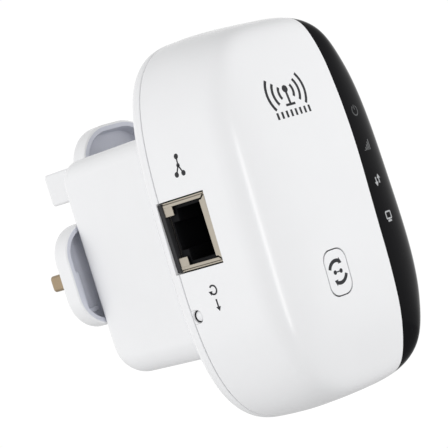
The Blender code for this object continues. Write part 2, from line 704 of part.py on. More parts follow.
def tube(name, points, diameter, look):
    """A lead along a smooth curve through its route's points."""
    data = bpy.data.curves.new(name, "CURVE")
    data.dimensions = "3D"
    data.bevel_depth = diameter / 2 * MM
    data.bevel_resolution = 2
    data.use_fill_caps = True
    fine = []
    ends = [points[0]] + list(points) + [points[-1]]
    for a, b, c, d in zip(ends, ends[1:], ends[2:], ends[3:]):
        for i in range(5):
            t = i / 5
            fine.append([curve_value(a[k], b[k], c[k], d[k], t) for k in range(3)])
    fine.append(list(points[-1]))
    spline = data.splines.new("POLY")
    spline.points.add(len(fine) - 1)
    for point, place in zip(spline.points, fine):
        point.co = (place[0] * MM, place[1] * MM, place[2] * MM, 1.0)
    made = bpy.data.objects.new(name, data)
    bpy.context.scene.collection.objects.link(made)
    data.materials.append(material(name, look))


def curve_value(before, start, end, after, t):
    """A Catmull-Rom curve between start and end."""
    return 0.5 * (
        2 * start
        + (end - before) * t
        + (2 * before - 5 * start + 4 * end - after) * t**2
        + (3 * start - before - 3 * end + after) * t**3
    )


def antennas():
    """Two stamped antennas against the left inner wall, and their thin coaxial leads."""
    for name, z in (("upper", 20.0), ("lower", -22.3)):
        low = (-22.3, -56.0, z - 5.0)
        made = node(f"antenna_{name}", box(low, (-21.7, -44.5, z + 5.0)), TIN)
        slot = box((-25.0, -55.0, z - 1.0), (-22.0, -47.0, z + 1.0))
        boolean(made, cutter(f"antenna_slot_{name}", slot))
    face = MAIN_BOARD_Y - BOARD - GAP
    tube("antenna_lead_upper",
         [(-20.9, -53, 22.5), (-18, -54, 23), (-14, -52, 22), (-9, -47, 18.5), (-7, -43, 17.5),
          (-7, face, 17.5)],
         1.2, BLACK)
    tube("antenna_lead_lower",
         [(-20.9, -52, -26.5), (-18, -54, -26), (-8, -54, -25), (6, -52, -21), (12, -46, -16),
          (12, face, -14)],
         1.2, BLACK)


def power_board():
    low, high = POWER_BOARD_Z
    flat = rounded_rectangle(POWER_BOARD_HALF_WIDTH, low, high, (4.0, 2.0), 3)
    made = node("power_pcb", prism(flat, POWER_BOARD_Y - BOARD, POWER_BOARD_Y),
                ((0.42, 0.3, 0.12), 0.5, 0.0))
    for i, (x, z) in enumerate(POWER_SCREWS):
        hole = cylinder((x, z), 1.4, POWER_BOARD_Y - BOARD - 1, POWER_BOARD_Y + 1, sides=12)
        boolean(made, cutter(f"power_hole_{i + 1}", hole))
    face = POWER_BOARD_Y - BOARD
    core = board_part("transformer_core", (-5.5, 3.0), (16.0, 5.0), face, 15.0, FERRITE)
    board_part_ring(core, face)
    x, z = 8.5, 7.5
    node("input_capacitor", cylinder((x, z), 4.0, face - GAP - 14.0, face - GAP), BLACK)
    node("output_capacitor", cylinder((9.5, -6.5), 3.15, face - GAP - 11.0, face - GAP),
         ((0.05, 0.12, 0.3), 0.35, 0.0))
    board_part("bridge_rectifier", (-9.0, 15.5), (6.5, 5.0), face, 2.6, BLACK)
    board_part("power_chip", (-3.0, -12.0), (5.0, 6.2), face, 2.0, BLACK)
    node("fuse_resistor", cylinder((face - GAP - 2.0, 16.5), 1.7, 0.0, 10.0, "X", 14),
         ((0.3, 0.5, 0.3), 0.5, 0.0))
    board_part("y_capacitor", (-12.5, -12.5), (3.2, 7.0), face, 6.5, CERAMIC, 0.6)
    rear = POWER_BOARD_Y + GAP
    for name, side in (("live", 1), ("neutral", -1)):
        contact = box((side * PIN_X - 2.5, rear, -1.6), (side * PIN_X + 2.5, PIN_ROOT_Y - GAP, 1.6))
        node(f"{name}_contact", contact, BRASS)


def board_part_ring(core, face):
    """The transformer's winding, a block round the core's middle leg with a gap on every side."""
    wind = board_part("transformer_winding", (-5.5, 3.0), (9.0, 13.0), face - 2.6, 9.0, TAPE, 0.8)
    leg = box((-5.5 - 2.0, face - 30.0, 0.2), (-5.5 + 2.0, face + 5.0, 5.8))
    boolean(wind, cutter("winding_bore", leg))
    for side in (-1, 1):
        low_x = -5.5 + side * 3.4 - 1.6
        room = box((low_x - (0 if side > 0 else 1.4), face - GAP - 12.2, -4.0),
                   (low_x + 3.2 + (1.4 if side > 0 else 0), face - GAP - 2.1, 10.0))
        boolean(core, cutter(f"core_room_{'left' if side < 0 else 'right'}", room))


def supply_leads():
    """Two leads that bring the low voltage from the power board to the main board."""
    rear = MAIN_BOARD_Y + GAP
    front = POWER_BOARD_Y - BOARD - GAP
    tube("supply_lead_positive",
         [(16.2, front, 3), (16.2, -20, 3), (15.0, -27, 1), (15.2, -33, -2), (15.2, rear, -3)],
         1.4, RED_WIRE)
    tube("supply_lead_negative",
         [(16.2, front, 0), (16.2, -20, 0), (17.2, -27, -3), (17.4, -33, -6), (17.4, rear, -7)],
         1.4, BLACK)


def build():
    remove_all()
    socket = socket_cut()
    reset = reset_cut(RESET_RADIUS + GAP, "reset_cut")
    front_cover(socket, reset)
    cover = back_cover(socket, reset)
    screws_and_posts(cover)
    side_window()
    plug_flange()
    power_pin("live_pin", PIN_X)
    power_pin("neutral_pin", -PIN_X)
    pin_sleeve("live_pin_sleeve", PIN_X)
    pin_sleeve("neutral_pin_sleeve", -PIN_X)
    earth_pin()
    rj45_shield()
    rj45_insert()
    rj45_contacts()
    pairing_button()
    pairing_switch()
    reset_button_and_switch()
    main_board()
    main_board_parts()
    antennas()
    power_board()
    supply_leads()


build()
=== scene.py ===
"""Looks for the plug-in wifi range extender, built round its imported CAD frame.

Lengths are in millimetres until a mesh is made; MM turns them into metres.
+Y points at the wall socket, -Y out of the front, +Z up and +X to the right seen from the front.
"""

import json
import math

import bmesh
import bpy
from mathutils import Matrix, Vector
from mathutils.bvhtree import BVHTree


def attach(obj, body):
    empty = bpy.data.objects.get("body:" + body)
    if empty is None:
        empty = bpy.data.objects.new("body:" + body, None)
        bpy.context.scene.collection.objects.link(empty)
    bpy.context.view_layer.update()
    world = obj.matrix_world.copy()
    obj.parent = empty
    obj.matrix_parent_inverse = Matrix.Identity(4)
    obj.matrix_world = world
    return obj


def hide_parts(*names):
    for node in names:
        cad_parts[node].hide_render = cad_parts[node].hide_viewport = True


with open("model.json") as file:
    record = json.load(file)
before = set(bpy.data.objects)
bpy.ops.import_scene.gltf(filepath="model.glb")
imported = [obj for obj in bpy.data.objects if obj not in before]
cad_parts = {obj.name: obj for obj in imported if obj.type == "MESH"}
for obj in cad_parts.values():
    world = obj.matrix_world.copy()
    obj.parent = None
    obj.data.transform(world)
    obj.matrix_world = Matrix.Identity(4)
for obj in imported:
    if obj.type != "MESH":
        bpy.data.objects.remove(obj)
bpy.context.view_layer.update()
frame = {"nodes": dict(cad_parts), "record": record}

MM = 0.001

# The body's outline in X and Z, and its front's rounding, as in the CAD.
HALF_WIDTH = 27.0
HALF_HEIGHTS = {"top": 44.9, "bottom": 43.5}
OUTLINE_POWERS = {"top": 3.5, "bottom": 3.15}
ROUNDER_WITHIN = 0.8
TAPER = 0.001
SEAM_Y = -40.0
FRONT_DEPTH = 26.75
# Control rows of the front's rounding: share of the outline left, and depth from the seam.
SIDE_PROFILE = ((1, 0), (0.992, 8), (0.981, 15), (0.963, 21.4), (0.783, 24.4), (0.55, 26.2),
                (0.27, FRONT_DEPTH), (0, FRONT_DEPTH))
END_PROFILE = ((1, 0), (1.0, 7), (0.982, 12.5), (0.96, 22.3), (0.835, 23.9), (0.55, 26.2),
               (0.27, FRONT_DEPTH), (0, FRONT_DEPTH))
# The side profile takes over where the squared cosine of a point's angle rises past SIDES_FROM.
SIDES_FROM = 0.2
SIDES_OVER = 0.5
DOME_ANGLES = 256
DOME_ROWS = 56
WALL = 1.8
SEAM_LIP = 0.25  # the small radius along the front's seam
SHARP_ANGLE = 40  # edges sharper than this get a moulded radius

# X and Y ranges where cutters pass through the left side and the front, and places clear of the body.
LEFT_CUT = (-32.0, -22.0)
FRONT_CUT = (-75.0, -60.0)
CLEAR_X = 40.0
CLEAR_Y = -80.0

# Back plate, plug block and flange.
BACK_Y = -35.4
# The back plate's rolled edge, as (inset, y).
BACK_EDGE = ((0.35, SEAM_Y + 0.22), (0.12, SEAM_Y + 0.28), (0.02, SEAM_Y + 0.45), (0.0, -39.2), (0.03, -38.6),
             (0.12, -38.0), (0.32, -37.4), (0.62, -36.8), (1.0, -36.3), (1.5, -35.85), (2.1, -35.55),
             (2.8, BACK_Y), (6.0, BACK_Y + 0.01))
TONGUE_INSETS = (2.1, 3.1)  # outside and inside of the tongue that reaches into the front
BLOCK_HALF_WIDTH = 21.3
BLOCK_TOP = 26.4
BLOCK_BOTTOM = -25.7
BLOCK_REAR_Y = -4.9
BLOCK_DRAFT = 1.0
BLOCK_TOP_RADIUS = 4.0
BLOCK_BOTTOM_RADIUS = 5.5
BLOCK_SIDE_RADIUS = 1.6
BLOCK_FULLNESS = {"bottom": 0.7, "top": 0.6, "side": 0.6}  # share of its radius that each edge turns in
FLANGE_DEPTH = 4.6
FLANGE_SKIRT = 1.8
FLANGE_CORNER = 5.0  # radius between the bar and the stem
BAR_HALF_WIDTH = 26.5
BAR_HALF_HEIGHT = 12.4
BAR_RADIUS = 8.0
STEM_HALF_WIDTH = 12.5
STEM_TOP = 33.2
STEM_RADIUS = 10.0
PIN_X = 11.1
PIN_SIZE = (6.35, 4.0)
PIN_LENGTH = 18.2
PIN_NECK = 0.7  # how much thinner a brass pin is under its sleeve, on each side
PIN_GAP = 0.15
PIN_SLOT = (3.5, 2.3)  # half sizes of a brass pin's opening in the plug block
SLEEVE_LENGTH = 9.2
EARTH_Z = 22.23
EARTH_SIZE = (4.0, 8.0)
EARTH_LENGTH = 23.2

# Window, buttons and network socket.
WINDOW_X = 12.2
WINDOW_BACK_Y = -53.0
WINDOW_GAP = 0.06
WINDOW_REACH = 46.0  # half height of the window's cutter
WINDOW_END_Z = 44.0  # height where the window's back edge reaches its end places
WINDOW_END_YS = {"top": -60.0, "bottom": -57.4}
WINDOW_SWELL = 0.9  # how much wider the display window is below its middle
WINDOW_SWELL_FROM = 14.0
WINDOW_SWELL_OVER = 26.0
WINDOW_FLARE = 1.7  # how much its edge has moved over at 1 flare length past where a flare starts
WINDOW_FLARE_LENGTH = 12.0
WINDOW_FLARE_FROM = {"top": 29.0, "bottom": -25.0}
PAIR_X, PAIR_Z = -6.3, -15.0
PAIR_SIZE = (6.8, 10.0)
PAIR_CORNER = 2.6
PAIR_GAP = 0.28
RESET_Y, RESET_Z = -41.55, -15.35
RESET_RADIUS = 1.3
RESET_GAP = 0.25
RESET_BORE = 1.38
SOCKET_Z = 2.75
SOCKET_SIZE = (16.3, 13.9)
SOCKET_MOUTH_X = -26.2
SOCKET_END_X = SOCKET_MOUTH_X + 19.0
SOCKET_GAP = 0.3
SOCKET_HALF = SOCKET_SIZE[0] / 2 - SOCKET_GAP
SOCKET_LOW_Z, SOCKET_HIGH_Z = SOCKET_Z - SOCKET_HALF, SOCKET_Z + SOCKET_HALF
SOCKET_FRONT_Y, SOCKET_REAR_Y = SEAM_Y - SOCKET_SIZE[1] + SOCKET_GAP, SEAM_Y - SOCKET_GAP
SOCKET_START_X = SOCKET_MOUTH_X + 0.8  # where the black moulding starts
SOCKET_NEAR_Y = SOCKET_FRONT_Y + 2.5  # the cavity's side next to the wires
FOLD = 0.32  # thickness of the shield's folded metal
WIRE_PITCH = 1.02

# Middles of the printed marks: (x, z) on the front, (y, z) on the left side.
FRONT_MARK = (-4.3, 25.4)
NETWORK_MARK = (-48.75, 17.6)
RESET_MARK = (-48.6, -10.5)
WINDOW_MARK_X = 16.2
INK = 0.03  # how far a printed mark stands proud

WHITE = (0.918, 0.922, 0.934)
FINISHES = {}  # every material by its name

CAMERA_PLACE = (-350.17, -381.99, 8.54)
CAMERA_TURN = (-44.92, 0.75, -17.36)  # azimuth, elevation and roll, in degrees
CAMERA_LENS = 171.86
BACKDROP_WAY = (0.706, 0.708, 0.0)  # towards the white backdrop
BACKDROP_EDGE = (0.55, 0.93)  # cosines to that way between which the studio turns white
BACKDROP_LEVEL = 1.02
STUDIO_LEVEL = 0.94
# The studio's brightness from straight down, at 0, to straight up, at 1.
SKY_LEVELS = ((0.0, 0.18), (0.28, 0.42), (0.42, 1.0), (0.58, 1.0), (0.72, 0.78), (1.0, 0.45))


# ---------------- materials

def new_material(name, colour, roughness, metallic=0.0, specular=0.5, coat=0.0):
    """A Principled material whose constant values sit on its own sockets, kept in FINISHES."""
    made = bpy.data.materials.new(name)
    made.use_nodes = True
    inputs = made.node_tree.nodes["Principled BSDF"].inputs
    inputs["Base Color"].default_value = (*colour, 1.0)
    inputs["Roughness"].default_value = roughness
    inputs["Metallic"].default_value = metallic
    inputs["Specular IOR Level"].default_value = specular
    inputs["Coat Weight"].default_value = coat
    inputs["Coat Roughness"].default_value = 0.05
    made.diffuse_color = (*colour, 1.0)
    FINISHES[name] = made
    return made


def node_of(material, kind, **values):
    made = material.node_tree.nodes.new(kind)
    for key, value in values.items():
        setattr(made, key, value)
    return made


def link(material, source, target):
    material.node_tree.links.new(source, target)


def coordinates(material, stretch=(1, 1, 1)):
    """Object coordinates in millimetres, stretched so that a grain can run along an axis."""
    place = node_of(material, "ShaderNodeTexCoord")
    scale = node_of(material, "ShaderNodeMapping")
    scale.inputs["Scale"].default_value = [part / MM for part in stretch]
    link(material, place.outputs["Object"], scale.inputs["Vector"])
    return scale.outputs["Vector"]


def noise(material, where, scale, detail=3.0, roughness=0.5):
    made = node_of(material, "ShaderNodeTexNoise")
    made.inputs["Scale"].default_value = scale
    made.inputs["Detail"].default_value = detail
    made.inputs["Roughness"].default_value = roughness
    link(material, where, made.inputs["Vector"])
    return made.outputs["Fac"]


def between(material, factor, low, high):
    """A number that swings between low and high with a 0 to 1 factor."""
    made = node_of(material, "ShaderNodeMapRange")
    made.inputs["To Min"].default_value = low
    made.inputs["To Max"].default_value = high
    link(material, factor, made.inputs["Value"])
    return made.outputs["Result"]


def fill_ramp(ramp, stops):
    while len(ramp.elements) < len(stops):
        ramp.elements.new(0.5)
    for element, (place, colour) in zip(ramp.elements, stops):
        element.position = place
        element.color = (*colour, 1.0)


def colours(material, factor, stops):
    """A colour ramp: stops are (place, colour)."""
    made = node_of(material, "ShaderNodeValToRGB")
    fill_ramp(made.color_ramp, stops)
    link(material, factor, made.inputs["Fac"])
    return made.outputs["Color"]


def bump(material, height, strength, distance=0.1):
    made = node_of(material, "ShaderNodeBump")
    made.inputs["Strength"].default_value = strength
    made.inputs["Distance"].default_value = distance * MM
    link(material, height, made.inputs["Height"])
    shader = material.node_tree.nodes["Principled BSDF"]
    link(material, made.outputs["Normal"], shader.inputs["Normal"])


def shade(colour, amount):
    return tuple(min(1.0, part * amount) for part in colour)


def finish(name, colour, roughness, metallic=0.0, specular=0.5, coat=0.0, tone=0.05, grain=4.0,
           gloss=0.15, relief=0.1, stretch=(1, 1, 1), fine=30.0):
    """A moulded, rolled or coated surface: colour, gloss and relief each drift with their own noise."""
    made = new_material(name, colour, roughness, metallic, specular, coat)
    shader = made.node_tree.nodes["Principled BSDF"]
    where = coordinates(made, stretch)
    broad = noise(made, where, grain / 40, 2.0)
    tones = colours(made, broad, ((0.25, shade(colour, 1 - tone)), (0.75, shade(colour, 1 + tone))))
    link(made, tones, shader.inputs["Base Color"])
    small = noise(made, where, grain / 8, 4.0, 0.6)
    dullness = between(made, small, roughness * (1 - gloss), roughness * (1 + gloss))
    link(made, dullness, shader.inputs["Roughness"])
    if relief:
        bump(made, noise(made, where, fine / 10, 3.0), relief, 0.02)
    return made


def board_material(name, ground, track, roughness, scale):
    """A circuit board: solder mask with a fine net of tracks under it."""
    made = new_material(name, ground, roughness, 0.0, 0.5, 0.2)
    shader = made.node_tree.nodes["Principled BSDF"]
    where = coordinates(made)
    face_on = node_of(made, "ShaderNodeMapping")
    face_on.inputs["Rotation"].default_value = (math.radians(90), 0, 0)
    link(made, where, face_on.inputs["Vector"])
    tracks = node_of(made, "ShaderNodeTexBrick", offset=0.37, squash=1.7)
    tracks.inputs["Scale"].default_value = scale
    tracks.inputs["Mortar Size"].default_value = 0.035
    tracks.inputs["Color1"].default_value = (*ground, 1.0)
    tracks.inputs["Color2"].default_value = (*shade(ground, 0.85), 1.0)
    tracks.inputs["Mortar"].default_value = (*track, 1.0)
    link(made, face_on.outputs["Vector"], tracks.inputs["Vector"])
    link(made, tracks.outputs["Color"], shader.inputs["Base Color"])
    dullness = between(made, noise(made, where, 0.5), roughness * 0.85, roughness * 1.15)
    link(made, dullness, shader.inputs["Roughness"])
    bump(made, tracks.outputs["Fac"], 0.25, 0.05)


def clear_plastic():
    made = finish("clear_plastic", (0.9, 0.93, 0.96), 0.12, tone=0.02, relief=0.05)
    inputs = made.node_tree.nodes["Principled BSDF"].inputs
    inputs["Transmission Weight"].default_value = 0.85
    inputs["IOR"].default_value = 1.49


def materials():
    """One finish per material slot of the record, and more for the painted shade inside the flange and the
    printed marks.
    """
    finish("white_shell", WHITE, 0.2, tone=0.008, grain=3, gloss=0.12, relief=0.04, fine=12)
    # painted shade: a darker bluish grey that stands for the shadow inside the plug face's dish
    finish("flange_painted_shade", (0.66, 0.675, 0.75), 0.35, tone=0.02, grain=6, fine=20)
    finish("black_window", (0.005, 0.005, 0.006), 0.06, specular=0.03, tone=0.1, grain=2, gloss=0.25,
           relief=0.02, fine=6)
    finish("pin_brass", (0.44, 0.34, 0.225), 0.34, 1.0, tone=0.06, grain=6, gloss=0.2, relief=0.25,
           stretch=(1, 0.08, 1), fine=40)
    finish("sleeve_plastic", (0.02, 0.02, 0.022), 0.5, tone=0.15, relief=0.3)
    finish("socket_nickel", (0.56, 0.51, 0.43), 0.38, 1.0, tone=0.04, grain=8, gloss=0.2, relief=0.2,
           stretch=(1, 1, 0.1), fine=40)
    finish("socket_plastic", (0.004, 0.004, 0.005), 0.6, specular=0.15, tone=0.2, relief=0.3)
    finish("contact_gold", (0.85, 0.62, 0.25), 0.25, 1.0, relief=0.15, stretch=(0.1, 1, 1))
    board_material("main_board_green", (0.03, 0.16, 0.08), (0.06, 0.27, 0.14), 0.4, 0.45)
    board_material("power_board_tan", (0.42, 0.3, 0.12), (0.5, 0.38, 0.2), 0.55, 0.3)
    finish("tinned_steel", (0.7, 0.7, 0.7), 0.35, 1.0, tone=0.06, grain=10, gloss=0.25, relief=0.2,
           stretch=(1, 1, 0.15), fine=30)
    finish("chip_black", (0.02, 0.02, 0.022), 0.55, tone=0.2, relief=0.5, fine=60)
    finish("switch_grey", (0.3, 0.3, 0.3), 0.45, tone=0.06, relief=0.2)
    clear_plastic()
    finish("ferrite", (0.09, 0.085, 0.085), 0.65, tone=0.2, grain=20, relief=0.6, fine=50)
    finish("winding_tape", (0.75, 0.6, 0.12), 0.4, tone=0.08, relief=0.3, stretch=(0.2, 1, 0.2), coat=0.3)
    finish("capacitor_sleeve", (0.03, 0.06, 0.14), 0.28, tone=0.15, relief=0.2, coat=0.3)
    finish("ceramic_blue", (0.12, 0.28, 0.5), 0.35, tone=0.08, relief=0.4, fine=15)
    finish("resistor_body", (0.3, 0.5, 0.3), 0.5, tone=0.08, relief=0.4)
    finish("lead_black", (0.02, 0.02, 0.02), 0.45, tone=0.15, relief=0.2)
    finish("lead_red", (0.5, 0.02, 0.02), 0.42, tone=0.08, relief=0.2)
    finish("screw_steel", (0.5, 0.5, 0.52), 0.3, 1.0, tone=0.06, relief=0.3, fine=60)
    finish("print_grey", (0.013, 0.014, 0.018), 0.5, tone=0.12, grain=40, relief=0.15)
    finish("icon_bright", (0.45, 0.46, 0.47), 0.5, tone=0.06, grain=40)
    finish("icon_mid", (0.1, 0.103, 0.108), 0.45, tone=0.1, grain=40)
    finish("icon_dim", (0.05, 0.052, 0.055), 0.45, tone=0.1, grain=40)


# ---------------- meshes

def placed(name, data):
    """A new object in the scene."""
    made = bpy.data.objects.new(name, data)
    bpy.context.scene.collection.objects.link(made)
    return made


def mesh_object(name, mesh):
    """A new object from a bmesh, which is used up."""
    data = bpy.data.meshes.new(name)
    mesh.to_mesh(data)
    mesh.free()
    return placed(name, data)


def piece(name, mesh, slot, body="casing", material=None, smooth=35.0, replaced=()):
    """A finished piece from a bmesh in millimetres."""
    bmesh.ops.scale(mesh, vec=(MM, MM, MM), verts=mesh.verts)
    bmesh.ops.recalc_face_normals(mesh, faces=mesh.faces)
    made = mesh_object(name, mesh)
    made.data.materials.append(FINISHES[material or slot])
    made.data.shade_smooth()
    made.data.set_sharp_from_angle(angle=math.radians(smooth))
    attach(made, body)
    if replaced:
        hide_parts(*replaced)
    return made


def solid(mesh):
    """A bare object for booleans, in millimetres."""
    bmesh.ops.recalc_face_normals(mesh, faces=mesh.faces)
    return mesh_object("part", mesh)


def carve(base, *steps):
    """Runs booleans on a closed bmesh and hands back the result; steps are (operation, bmesh)."""
    base = solid(base)
    tools = [solid(tool) for _, tool in steps]
    for (operation, _), tool in zip(steps, tools):
        step = base.modifiers.new("step", "BOOLEAN")
        step.operation = operation
        step.solver = "EXACT"
        step.object = tool
    graph = bpy.context.evaluated_depsgraph_get()
    mesh = bmesh.new()
    mesh.from_mesh(base.evaluated_get(graph).to_mesh())
    for used in (base, *tools):
        bpy.data.objects.remove(used, do_unlink=True)
    return mesh


def cut(base, *tools):
    """A closed bmesh with others taken out of it."""
    return carve(base, *(("DIFFERENCE", tool) for tool in tools))


def loft(rings):
    """A closed skin through rings of points, with a cap on the first and the last."""
    mesh = bmesh.new()
    rows = [[mesh.verts.new(point) for point in ring] for ring in rings]
    join_rows(mesh, rows)
    mesh.faces.new(rows[0][::-1])
    mesh.faces.new(rows[-1])
    return mesh


def join_rows(mesh, rows):
    """Faces between each ring of corners and the next."""
    for near, far in zip(rows, rows[1:]):
        for i in range(len(near)):
            j = (i + 1) % len(near)
            mesh.faces.new((near[i], near[j], far[j], far[i]))


def ring_at(y, flat):
    """Flat (x, z) points as a ring at depth y."""
    return [(x, y, z) for x, z in flat]


def prism(outline, low_y, high_y):
    return loft([ring_at(y, outline) for y in (low_y, high_y)])


def box(low, high):
    mesh = bmesh.new()
    bmesh.ops.create_cube(mesh, size=1.0)
    bmesh.ops.scale(mesh, vec=Vector(high) - Vector(low), verts=mesh.verts)
    bmesh.ops.translate(mesh, vec=(Vector(low) + Vector(high)) / 2, verts=mesh.verts)
    return mesh


def soft_box(low, high, radius):
    mesh = box(low, high)
    bmesh.ops.bevel(mesh, geom=list(mesh.edges), offset=radius, segments=3, profile=0.5, affect="EDGES")
    return mesh


def turned(profile, centre, axis, sides=48):
    """A turned body: profile points are (radius, place along the axis), and both ends are on the axis."""
    mesh = bmesh.new()
    rows = []
    for radius, along in profile[1:-1]:
        row = []
        for i in range(sides):
            turn = 2 * math.pi * i / sides
            a, b = centre[0] + radius * math.cos(turn), centre[1] + radius * math.sin(turn)
            row.append(mesh.verts.new((a, along, b) if axis == "Y" else (along, a, b)))
        rows.append(row)
    join_rows(mesh, rows)
    for row, (_, along) in ((rows[0], profile[0]), (rows[-1], profile[-1])):
        tip = (centre[0], along, centre[1]) if axis == "Y" else (along, centre[0], centre[1])
        top = mesh.verts.new(tip)
        for i in range(sides):
            mesh.faces.new((row[i], row[(i + 1) % sides], top))
    return mesh


def join(*meshes):
    """Several closed bodies in one bmesh."""
    whole = meshes[0]
    for part in meshes[1:]:
        data = bpy.data.meshes.new("part")
        part.to_mesh(data)
        part.free()
        whole.from_mesh(data)
        bpy.data.meshes.remove(data)
    return whole


def round_sharp_edges(made, width, segments=3):
    """A small moulded radius on a piece's sharp edges."""
    step = made.modifiers.new("moulded_edges", "BEVEL")
    step.width = width * MM
    step.segments = segments
    step.limit_method = "ANGLE"
    step.angle_limit = math.radians(SHARP_ANGLE)
    shading = made.modifiers.new("shading", "WEIGHTED_NORMAL")
    shading.keep_sharp = True


# ---------------- the body's skin

def signed_power(value, power):
    return math.copysign(abs(value) ** power, value)


def outline_point(angle, inset=0.0, share=1.0):
    """A point of the body's outline, moved inwards by inset; a ring with a small share is rounder."""
    end = "top" if math.sin(angle) >= 0 else "bottom"
    squareness = math.sin(math.pi / 2 * min(share / ROUNDER_WITHIN, 1.0))
    power = 2 / (2 + (OUTLINE_POWERS[end] - 2) * squareness)
    x = (HALF_WIDTH - inset) * signed_power(math.cos(angle), power)
    z = (HALF_HEIGHTS[end] - inset) * signed_power(math.sin(angle), power)
    return x * (1 - TAPER * z), z


def even_angles(count):
    """Angles that space the outline's points evenly along it."""
    steps = 6000
    points = [outline_point(2 * math.pi * i / steps) for i in range(steps + 1)]
    lengths = [0.0]
    for (x0, z0), (x1, z1) in zip(points, points[1:]):
        lengths.append(lengths[-1] + math.hypot(x1 - x0, z1 - z0))
    found, i = [], 0
    for k in range(count):
        target = lengths[-1] * k / count
        while lengths[i + 1] < target:
            i += 1
        part = (target - lengths[i]) / (lengths[i + 1] - lengths[i])
        found.append(2 * math.pi * (i + part) / steps)
    return found


def smooth_step(value):
    """0 below 0, 1 above 1, and a smooth rise between."""
    part = min(max(value, 0.0), 1.0)
    return part * part * (3 - 2 * part)


def sideness(angle):
    """1 along the body's sides, 0 at its top and bottom, smooth between."""
    return smooth_step((math.cos(angle) ** 2 - SIDES_FROM) / SIDES_OVER)


def spline_weights(count, t):
    """Weights of a clamped cubic B-spline's control points at t, from 0 to 1."""
    knots = [0.0] * 3 + [i / (count - 3) for i in range(count - 2)] + [1.0] * 3
    t = min(max(t, 0.0), 1.0 - 1e-9)
    weights = [1.0 if knots[i] <= t < knots[i + 1] else 0.0 for i in range(count + 3)]
    for degree in (1, 2, 3):
        for i in range(count + 3 - degree):
            left = knots[i + degree] - knots[i]
            right = knots[i + degree + 1] - knots[i + 1]
            value = (t - knots[i]) / left * weights[i] if left else 0.0
            if right:
                value += (knots[i + degree + 1] - t) / right * weights[i + 1]
            weights[i] = value
    return weights[:count]


def dome_point(angle, weights, thickness=0.0):
    """A point of the front's skin: weights place it from the seam to the middle of the front."""
    side = sideness(angle)
    rows = zip(weights, SIDE_PROFILE, END_PROFILE)
    scale = depth = 0.0
    for weight, by_side, by_end in rows:
        scale += weight * (by_side[0] * side + by_end[0] * (1 - side))
        depth += weight * (by_side[1] * side + by_end[1] * (1 - side))
    x, z = outline_point(angle, thickness, scale)
    return x * scale, SEAM_Y - depth * (1 - thickness / FRONT_DEPTH), z * scale


def body_ring(angles, inset, y):
    """The body's outline, moved inwards by inset, as a ring at depth y."""
    return ring_at(y, [outline_point(angle, inset) for angle in angles])


def seam_rings(angles, thickness):
    """Where a skin of the front starts: the outer one has a small radius, the inner one a plain edge."""
    if thickness:
        return [body_ring(angles, thickness, SEAM_Y)]
    turns = [math.radians(30 * k) for k in range(4)]
    return [body_ring(angles, SEAM_LIP * (1 - math.sin(turn)), SEAM_Y - SEAM_LIP * (1 - math.cos(turn)))
            for turn in turns]


def dome_skin(mesh, angles, thickness):
    """The front's outer skin or, with a thickness, its inner one. Hands back the corners at the seam."""
    rings = seam_rings(angles, thickness)
    for i in range(1, DOME_ROWS):
        weights = spline_weights(len(SIDE_PROFILE), i / DOME_ROWS)
        rings.append([dome_point(angle, weights, thickness) for angle in angles])
    rows = [[mesh.verts.new(point) for point in ring] for ring in rings]
    top = mesh.verts.new((0.0, SEAM_Y - FRONT_DEPTH + thickness, 0.0))
    for i in range(DOME_ANGLES):
        j = (i + 1) % DOME_ANGLES
        for near, far in zip(rows, rows[1:]):
            mesh.faces.new((near[i], near[j], far[j], far[i]))
        mesh.faces.new((rows[-1][i], rows[-1][j], top))
    return rows[0]


def dome_shell():
    """The front as a skin WALL thick, with a small radius along the seam."""
    angles = even_angles(DOME_ANGLES)
    mesh = bmesh.new()
    outer, inner = dome_skin(mesh, angles, 0.0), dome_skin(mesh, angles, WALL)
    for i in range(DOME_ANGLES):
        j = (i + 1) % DOME_ANGLES
        mesh.faces.new((outer[i], inner[i], inner[j], outer[j]))
    return mesh


def outer_tree():
    """The outside of the body as a search tree, to lay printed marks on."""
    mesh = dome_shell()
    bmesh.ops.triangulate(mesh, faces=mesh.faces)
    tree = BVHTree.FromBMesh(mesh)
    mesh.free()
    return tree


def polar(centre, radius, angle):
    turn = math.radians(angle)
    return centre[0] + radius * math.cos(turn), centre[1] + radius * math.sin(turn)


def arc(centre, radius, start, stop, steps=16):
    """Points of an arc, its ends in degrees."""
    return [polar(centre, radius, start + (stop - start) * i / steps) for i in range(steps + 1)]


def rounded_rectangle(half_width, low, high, radii, steps=10):
    """Points of (x, z) counted from the lower right, anticlockwise; radii gives (lower, upper)."""
    points = []
    corners = ((half_width, low, radii[0], -90), (half_width, high, radii[1], 0),
               (-half_width, high, radii[1], 90), (-half_width, low, radii[0], 180))
    for x, z, radius, start in corners:
        centre = (x - math.copysign(radius, x), z + radius if z == low else z - radius)
        points += arc(centre, radius, start, start + 90, steps)
    return points


def pair_outline(grow):
    """The pairing button's outline, moved outwards by grow."""
    half_width, half_height = PAIR_SIZE[0] / 2 + grow, PAIR_SIZE[1] / 2 + grow
    flat = rounded_rectangle(half_width, -half_height, half_height, (PAIR_CORNER, PAIR_CORNER))
    return [(PAIR_X + x, PAIR_Z + z) for x, z in flat]


def window_edge(z):
    """Where the display window's edge on the front is, at height z."""
    swell = WINDOW_SWELL * smooth_step((WINDOW_SWELL_FROM - z) / WINDOW_SWELL_OVER)
    above = max(z - WINDOW_FLARE_FROM["top"], 0.0) / WINDOW_FLARE_LENGTH
    below = max(WINDOW_FLARE_FROM["bottom"] - z, 0.0) / WINDOW_FLARE_LENGTH
    return WINDOW_X - swell - WINDOW_FLARE * (above**2 + below**2)


